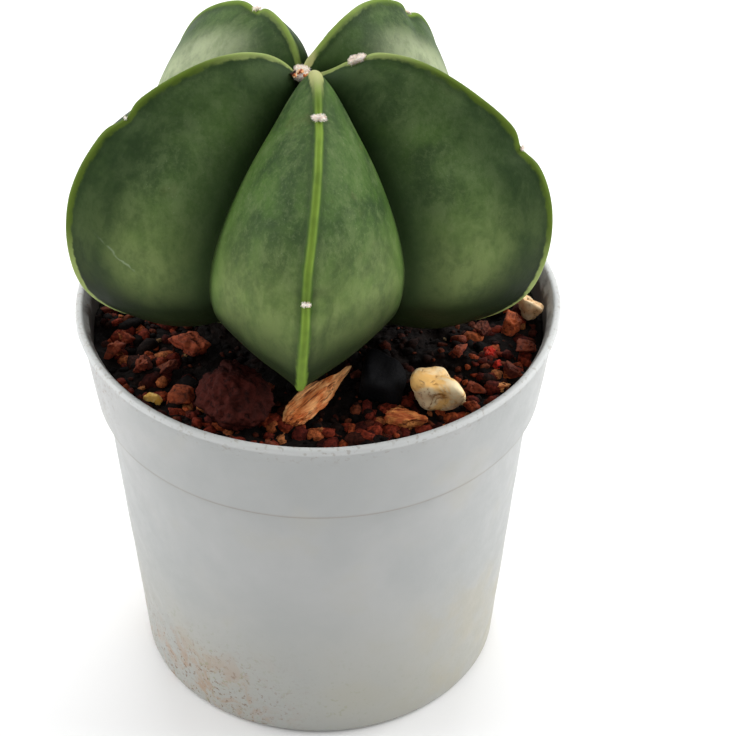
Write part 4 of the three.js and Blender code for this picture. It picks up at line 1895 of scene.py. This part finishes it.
        return {
            "points": points,
            "crest_gap": gap,
            "furrow_gap": far_gap,
            "margin": np.broadcast_to(rib.margin, gap.shape),
            "young": np.broadcast_to(young[:, None], gap.shape),
            "painted_sheen": self.painted_sheen(rib, other, along, across),
        }

    def placed(self, points: Array) -> Array:
        """Lean points as the plant leans.

        Args:
            points: Rows of x, y, z in the plant's own axes.

        Returns:
            The leaned points.
        """
        about_x, about_y = (math.radians(angle) for angle in self.lean)
        matrix = Matrix.Rotation(about_x, 3, "X") @ Matrix.Rotation(about_y, 3, "Y")
        return points @ np.array(matrix).T

    def build(self) -> Piece:
        """Build the stem's skin, with the values that its material reads.

        Returns:
            The stem.
        """
        along = np.linspace(0, 1, self.rows + 1)[1:]
        across = ((1 - np.cos(np.linspace(0, math.pi, self.across + 1))) / 2) ** 1.15
        ends = {"crest_gap": (5, 0), "furrow_gap": (5, 3), "margin": (0, 0), "young": (0, 1), "painted_sheen": (0, 0)}
        parts: dict[str, list[Array]] = {name: [] for name in ("points", *ends)}
        for i, rib in enumerate(self.ribs):
            before = self.face(rib, self.ribs[i - 1], along, across)
            after = self.face(rib, self.ribs[(i + 1) % len(self.ribs)], along, across)
            for name, found in parts.items():
                found.extend((before[name][:, :0:-1], after[name][:, :-1]))
        rings, *values = (np.concatenate(found, axis=1)[::-1] for found in parts.values())
        crown = np.array([*self.crown, self.crest_outline[0][1]])
        points, faces = capped_skin(rings, np.array([0, 0, -self.buried]), crown)
        stem = new_piece("detailed_cactus_stem", fitted(self.placed(points), "cactus_stem"), faces)
        rows = np.repeat(along[::-1], rings.shape[1])
        keep_values(stem, "along", np.concatenate([[1.0], rows, [0.0]]))
        for (name, (foot, top)), found in zip(ends.items(), values):
            keep_values(stem, name, np.concatenate([[foot], found.ravel(), [top]]))
        return stem

    def outward_at(self, rib: Rib, along: float) -> tuple[Array, Array]:
        """Give the directions of a place on a crest.

        Args:
            rib: The rib.
            along: Place on its crest, from 0 to 1.

        Returns:
            The direction straight out of the crest, and the direction across it.
        """
        outward = self.crest_outward(rib, np.array([along]))
        return self.placed(outward)[0], self.placed(self.sideways(rib)[None])[0]

    def dress(self, stem: Piece) -> None:
        """Give the stem its skin and settle it."""
        settle(stem, ["cactus_stem"], StemSkin().make())


# Wool ---------------------------------


@dataclass
class WoolTufts:
    """The woolly cushions: one in each areole, and the crown's, with its dried flower remains."""

    stem: StarStem
    fibre_length: float = 0.26
    fibre_radius: float = 0.018
    fibres_per_square_metre: float = 1.6e8
    core_level: int = 4
    sink: float = 0.45
    areole_half: Triple = (0.82, 0.42, 0.34)
    along_crest: Triple = (0.6, 1.1, 0.5)
    turned_tufts: tuple[str, ...] = ("areole_right_1",)
    crown_half: Triple = (1.1, 1.35, 0.58)
    crown_move: Triple = (-0.1, -1.0, -0.42)
    crown_seed: int = 20
    fibre_lean: float = 0.7
    husks: int = 16
    husk_seed: int = 31
    husk_sizes: tuple[float, float] = (0.2, 0.42)
    husk_thickness: float = 0.16
    husk_curl: float = 0.35
    husk_ring: tuple[float, float] = (0.8, 0.45)
    husk_middle: tuple[float, float] = (-0.2, -1.95)

    def cushion(self, name: str, half: Triple, axes: Array, centre: Array,
                seed: float) -> Piece:
        """Make the uneven core of a tuft.

        Args:
            name: The piece's name.
            half: Half sizes across the crest, along it and outwards.
            axes: The directions of those, by row.
            centre: The middle in millimetres.
            seed: Makes each core different.

        Returns:
            The core, with its tint kept for the finish.
        """
        points, faces = ball(self.core_level)
        lengthwise = int(np.argmax(half))
        waist = 1 - 0.35 * np.exp(-((points[:, lengthwise] / 0.35) ** 2))
        shape = points * (0.82 + 0.25 * rough(points, 0.9, 3, seed))[:, None]
        shape[:, [axis for axis in range(3) if axis != lengthwise]] *= waist[:, None]
        piece = new_piece(name, centre + (shape * np.array(half)) @ axes, faces)
        keep_values(piece, "tint", np.clip(0.5 + 0.5 * points[:, 2] + 0.2 * np.abs(points[:, 0]), 0, 1))
        return piece

    def build(self) -> list[tuple[Piece, str]]:
        """Build every tuft.

        Returns:
            The tufts, each with the node that it stands for.
        """
        tree = fibre_tree()
        finish = WoolFinish().make()
        tufts = []
        for rib in self.stem.ribs:
            for number, (along, size) in enumerate(zip(rib.areoles, rib.tufts), start=1):
                node = f"areole_{rib.name}_{number}"
                outward, sideways = self.stem.outward_at(rib, along)
                axes = np.array([sideways, np.cross(outward, sideways), outward])
                seed = len(tufts) + 1
                shape = self.along_crest if node in self.turned_tufts else self.areole_half
                half = tuple(size * side for side in shape)
                seat = node_centre(node) - outward * (self.sink + self.areole_half[2] * (1 - size))
                core = self.cushion(f"wool_{rib.name}_{number}", half, axes, seat, seed)
                tufts.append((self.grown(tree, core, finish, seed, self.fibre_length * size**0.5), node))
        seat = node_centre("crown_wool") + np.array(self.crown_move)
        core = self.cushion("wool_crown", self.crown_half, np.eye(3), seat, self.crown_seed)
        crown = self.grown(tree, core, finish, self.crown_seed, self.fibre_length)
        tufts.append((crown, "crown_wool"))
        return tufts

    def grown(self, tree: GrowthTree, core: Piece, finish: Material, seed: int,
              length: float) -> Piece:
        """Grow fibres on a core.

        Args:
            tree: The tree that grows them.
            core: The core.
            finish: The wool's finish.
            seed: Makes each tuft different.
            length: The fibres' length in millimetres.

        Returns:
            The tuft.
        """
        return tree.grow(
            core,
            Density=self.fibres_per_square_metre,
            Length=length * MM,
            Thickness=self.fibre_radius / length,
            Lean=self.fibre_lean,
            Seed=seed,
            Finish=finish,
        )

    def build_husks(self) -> Piece:
        """Build the crown's dried flower remains: a few curled flakes in the wool.

        Returns:
            The flakes as one piece.
        """
        draw = np.random.default_rng(self.husk_seed)
        centre = node_centre("crown_wool")
        points, faces, tints = [], [], []
        base, base_faces = ball(3)
        for i in range(self.husks):
            size = draw.uniform(*self.husk_sizes)
            shape = base * np.array([size, 0.45 * size, self.husk_thickness])
            shape[:, 2] += self.husk_curl * (base[:, 0] ** 2) * size
            shape = turned(shape, draw.uniform(0, 360), draw.uniform(-40, 50))
            angle = draw.uniform(0, math.tau)
            x = self.husk_ring[0] * math.cos(angle) + self.husk_middle[0]
            y = self.husk_ring[1] * math.sin(angle) + self.husk_middle[1]
            place = centre + np.array([x, y, draw.uniform(-0.25, 0.2)])
            faces.extend(tuple(v + len(base) * i for v in face) for face in base_faces)
            points.append(shape + place)
            tints.append(np.full(len(base), draw.uniform(0.25, 1.0) if i else 0.05))
        husks = new_piece("crown_husks", np.vstack(points), faces)
        keep_values(husks, "tint", np.concatenate(tints))
        return husks

    def dress(self, tufts: list[tuple[Piece, str]], husks: Piece) -> None:
        """Settle the tufts and the husks.

        Args:
            tufts: The tufts, each with its node.
            husks: The husks.
        """
        for piece, node in tufts:
            settle(piece, [node])
        settle(husks, finish=HuskFinish().make())


# Stones and chips ---------------------


class Form(Enum):
    """How a stone or chip is shaped, each form by the method of its name."""

    ANGULAR = "angular"
    WORN = "worn"
    CRUMBLY = "crumbly"
    POROUS = "porous"
    SPLINTER = "splinter"


@dataclass(frozen=True)
class Stone:
    """One stone or chip: the node it stands for, its form, finish, own proportions, turn and tint."""

    node: str
    form: Form
    finish: str
    turn: float = 0.0
    half: Triple = (1.0, 0.9, 0.8)
    level: int = 5
    seed: float = 1.0
    tilt: float = 0.0
    tint: float = 0.4


@dataclass
class StoneSet:
    """All the stones, chips and granules that lie on the peat."""

    granules: int = 16
    granule_turn: float = 37.0
    tint_step: float = 0.618
    plane_depths: tuple[float, float] = (0.68, 0.98)
    pits: int = 26
    pit_depth: float = 0.16
    stones: tuple[Stone, ...] = (
        Stone("cream_pebble", Form.WORN, "cream_stone", 20, (3.0, 3.0, 2.8), 6, 3),
        Stone("tan_pebble", Form.WORN, "tan_stone", 24, (1.2, 2.1, 1.7), 5, 4),
        Stone("slate_stone", Form.WORN, "slate", -10, (2.8, 3.5, 3.0), 6, 5),
        Stone("peat_lump", Form.CRUMBLY, "peat", 25, (4.0, 4.7, 3.9), 6, 6),
        Stone("bark_flake", Form.SPLINTER, "bark", -10, (2.4, 1.3, 1.1), 5, 7),
        Stone("brown_nugget", Form.POROUS, "lava", -25, (2.6, 1.5, 1.4), 5, 8, tint=0.55),
        Stone("orange_chip", Form.SPLINTER, "chip", 15, (1.4, 0.7, 0.6), 5, 9),
        Stone("bark_chip", Form.SPLINTER, "chip", 43, (5.4, 1.55, 0.65), 6, 10, 8),
        Stone("straw_grain", Form.ANGULAR, "straw_stone", 0, (1.3, 1.2, 1.0), 5, 11),
        Stone("red_chip", Form.ANGULAR, "lava", 50, (1.9, 1.2, 1.2), 5, 12, tint=0.6),
    )
    grit: tuple[tuple[str, float, float], ...] = (
        ("red_grain", 0, 1.0), ("red_crumb", 0, 1.0), ("lava_left", 20, 0.45), ("lava_pair", 30, 0.5),
        ("lava_rim", 60, 0.3), ("lava_long", 75, 0.35), ("lava_middle", 50, 0.2), ("lava_right", 0, 0.7),
        ("lava_shade", 15, 0.2), ("lava_edge", 0, 0.35), ("lava_flat", -40, 0.3), ("lava_inner", 40, 0.45),
        ("lava_corner", 70, 0.4), ("lava_front", -35, 0.55),
    )

    def all_stones(self) -> list[Stone]:
        """List the named stones, the grit and the granules.

        Returns:
            Every stone.
        """
        grit = [
            Stone(node, Form.POROUS, "lava", turn, seed=20 + i, tint=tint)
            for i, (node, turn, tint) in enumerate(self.grit)
        ]
        granules = [
            Stone(
                f"granule_{i:02d}", Form.POROUS, "lava", self.granule_turn * i,
                level=4, seed=40 + i, tint=0.1 + 0.6 * (self.tint_step * i % 1),
            )
            for i in range(1, self.granules + 1)
        ]
        return [*self.stones, *grit, *granules]

    def shape(self, stone: Stone, points: Array) -> Array:
        """Work a ball into a stone's own shape by the method of its form, before it is turned."""
        return getattr(self, stone.form.value)(points, stone.seed)

    def cut_by_planes(self, points: Array, seed: float, planes: int, softness: float) -> Array:
        """Cut a ball by randomly placed planes.

        Args:
            points: Points of the ball.
            seed: Picks the planes.
            planes: How many there are.
            softness: Rounding of the edges between them.

        Returns:
            The radius in each point's direction.
        """
        draw = np.random.default_rng(int(seed * 10))
        normals = unit(draw.normal(size=(planes, 3)))
        offsets = draw.uniform(*self.plane_depths, planes)
        reach = np.minimum(offsets / np.maximum(points @ normals.T, 0.05), 3.0)
        return -softness * np.log(np.exp(-reach / softness).sum(1))

    def angular(self, points: Array, seed: float) -> Array:
        """Shape a broken stone with plain faces and worn edges."""
        radius = self.cut_by_planes(points, seed, 16, 0.05) + 0.05 * rough(points, 0.45, 4, seed)
        return points * (radius + 0.02 * rough(points, 0.12, 2, seed))[:, None]

    def worn(self, points: Array, seed: float) -> Array:
        """Shape a rounded stone with a few soft flats."""
        radius = self.cut_by_planes(points, seed, 14, 0.2) * (points**4).sum(1) ** -0.25
        return points * (radius + 0.03 * rough(points, 0.6, 4, seed))[:, None]

    def crumbly(self, points: Array, seed: float) -> Array:
        """Shape a rough clod of peat."""
        lumps = 0.2 * rough(points, 0.75, 3, seed) + 0.09 * rough(points, 0.28, 4, seed + 2)
        return points * (1 + lumps - 0.04 * np.abs(rough(points, 0.1, 2, seed + 5)))[:, None]

    def porous(self, points: Array, seed: float) -> Array:
        """Shape a grain of lava with pits.

        Args:
            points: Points of a ball of radius 1.
            seed: Makes each one different.

        Returns:
            The worked points.
        """
        draw = np.random.default_rng(int(seed))
        pits = unit(draw.normal(size=(self.pits, 3)))
        nearest = (points @ pits.T).max(1)
        pitting = self.pit_depth * smooth_step(0.955, 0.995, nearest)
        radius = self.cut_by_planes(points, seed, 11, 0.09)
        return points * (radius + 0.1 * rough(points, 0.5, 3, seed) - pitting)[:, None]

    def splinter(self, points: Array, seed: float) -> Array:
        """Shape a flake of bark: blunt at one end, drawn out at the other, ridged with its grain.

        Args:
            points: Points of a ball of radius 1.
            seed: Makes each one different.

        Returns:
            The worked points.
        """
        square = np.sign(points) * np.abs(points) ** np.array([0.8, 0.62, 0.55])
        along = square[:, 0]
        width = 1 - 0.72 * smooth_step(-0.15, 0.75, along) - 0.25 * smooth_step(-0.75, -1.0, along)
        thick = 1 - 0.35 * smooth_step(0.0, 0.9, along)
        shape = square * np.stack([np.ones(len(points)), width, thick], 1)
        lines = np.stack([shape[:, 0] * 0.25, shape[:, 1] * 1.6, shape[:, 2] * 1.6], 1)
        ridges = rough(lines, 0.42, 4, seed)
        broken = rough(points, 0.5, 3, seed + 3)
        shape[:, 1:] *= (1 + 0.2 * ridges + 0.24 * broken)[:, None]
        shape[:, 0] *= 1 + 0.1 * rough(lines[:, [1, 2, 0]], 0.3, 3, seed + 6)
        shape[:, 2] += 0.18 * along**2
        return shape

    def build(self) -> list[tuple[Piece, Stone]]:
        """Build every stone in its place.

        Returns:
            The pieces, each with its stone.
        """
        made = []
        for stone in self.all_stones():
            points, faces = ball(stone.level)
            own = self.shape(stone, points) * np.array(stone.half)
            placed = fitted(turned(own, stone.turn, stone.tilt), stone.node)
            piece = new_piece(f"detailed_{stone.node}", placed, faces)
            keep_values(piece, "grain", own * MM)
            keep_values(piece, "tint", np.full(len(points), stone.tint))
            made.append((piece, stone))
        return made

    def dress(self, made: list[tuple[Piece, Stone]]) -> None:
        """Give each stone its finish and settle it.

        Args:
            made: The pieces, each with its stone.
        """
        finishes = {slot: finish.make() for slot, finish in STONE_FINISHES.items()}
        for piece, stone in made:
            settle(piece, [stone.node], finishes[stone.finish])


# Studio -------------------------------


@dataclass
class Studio:
    """The floor, the lights and the camera."""

    floor_half: float = 6000.0
    camera_place: Triple = (0.02, -247.5, 231.06)
    heading: float = 1.312
    down: float = 37.917
    roll: float = 0.36
    lens: float = 132.79
    sky_levels: tuple[float, float] = (0.9, 0.95)
    aim_height: float = 40.0
    sensor: float = 36.0
    nearest: float = 0.01
    lights: tuple[tuple[str, Triple, tuple[float, float], float], ...] = (
        ("left_light", (-420, 90, 240), (360, 300), 1.5),
        ("right_light", (420, 90, 260), (360, 300), 2.0),
        ("back_light", (20, 430, 330), (420, 260), 1.4),
    )

    def build(self) -> None:
        """Build the floor, the light and the camera."""
        self.lay_floor()
        self.set_sky()
        for light in self.lights:
            self.hang_light(*light)
        self.set_camera()
        bpy.context.scene.view_settings.view_transform = "Standard"

    def lay_floor(self) -> None:
        """Lay a wide plain floor under the pot."""
        half = self.floor_half
        corners = np.array([[-half, -half, 0], [half, -half, 0], [half, half, 0], [-half, half, 0]])
        floor = new_piece("studio_floor", corners, [(0, 1, 2, 3)])
        floor.data.materials.append(FloorFinish().make())

    def set_sky(self) -> None:
        """Surround the pot with soft white light, a little weaker from the front."""
        world = bpy.data.worlds.new("studio_surround")
        bpy.context.scene.world = world
        world.use_nodes = True
        tree = world.node_tree
        tree.nodes.clear()
        place = add_node(tree, "ShaderNodeTexCoord", {}, {}).outputs["Generated"]
        back = add_node(tree, "ShaderNodeSeparateXYZ", {0: place}, {}).outputs["Y"]
        front_level, back_level = self.sky_levels
        inputs = {"From Min": -1.0, "From Max": 0.1, "To Min": front_level, "To Max": back_level}
        easing = {"interpolation_type": "SMOOTHSTEP"}
        level = add_node(tree, "ShaderNodeMapRange", {"Value": back, **inputs}, easing)
        glow = add_node(tree, "ShaderNodeBackground", {"Strength": level}, {})
        add_node(tree, "ShaderNodeOutputWorld", {"Surface": glow}, {})

    def hang_light(self, name: str, place: Triple, size: tuple[float, float], power: float) -> None:
        """Hang a soft rectangular light that faces the pot.

        Args:
            name: The light's name.
            place: Its middle in millimetres.
            size: Its width and height in millimetres.
            power: Its power in watts.
        """
        lamp = bpy.data.lights.new(name, "AREA")
        lamp.shape = "RECTANGLE"
        lamp.size, lamp.size_y = size[0] * MM, size[1] * MM
        lamp.energy = power
        holder = bpy.data.objects.new(name, lamp)
        holder.location = Vector(place) * MM
        aim = Vector((0, 0, self.aim_height)) * MM - holder.location
        holder.rotation_euler = aim.to_track_quat("-Z", "Y").to_euler()
        bpy.context.scene.collection.objects.link(holder)

    def set_camera(self) -> None:
        """Place the camera in front of the pot, looking down at it."""
        camera = bpy.data.cameras.new("camera")
        camera.lens = self.lens
        camera.sensor_width = self.sensor
        camera.clip_start = self.nearest
        holder = bpy.data.objects.new("camera", camera)
        turn = Matrix.Rotation(math.radians(-self.heading), 4, "Z")
        tilt = Matrix.Rotation(math.radians(90 - self.down), 4, "X")
        roll = Matrix.Rotation(math.radians(self.roll), 4, "Z")
        holder.matrix_world = Matrix.Translation(Vector(self.camera_place) * MM) @ turn @ tilt @ roll
        bpy.context.scene.collection.objects.link(holder)
        bpy.context.scene.camera = holder


def main() -> None:
    """Build the cactus, its pot and the studio, in order."""
    logging.basicConfig(level=logging.INFO, format="%(name)s %(message)s")
    Studio().build()
    pot = NurseryPot()
    pot.dress(pot.build())
    mix = PottingMix(pot)
    mix.dress(mix.build_bed(), mix.build_loose())
    stem = StarStem()
    stem.dress(stem.build())
    wool = WoolTufts(stem)
    wool.dress(wool.build(), wool.build_husks())
    stones = StoneSet()
    stones.dress(stones.build())


if __name__ == "__main__":
    main()
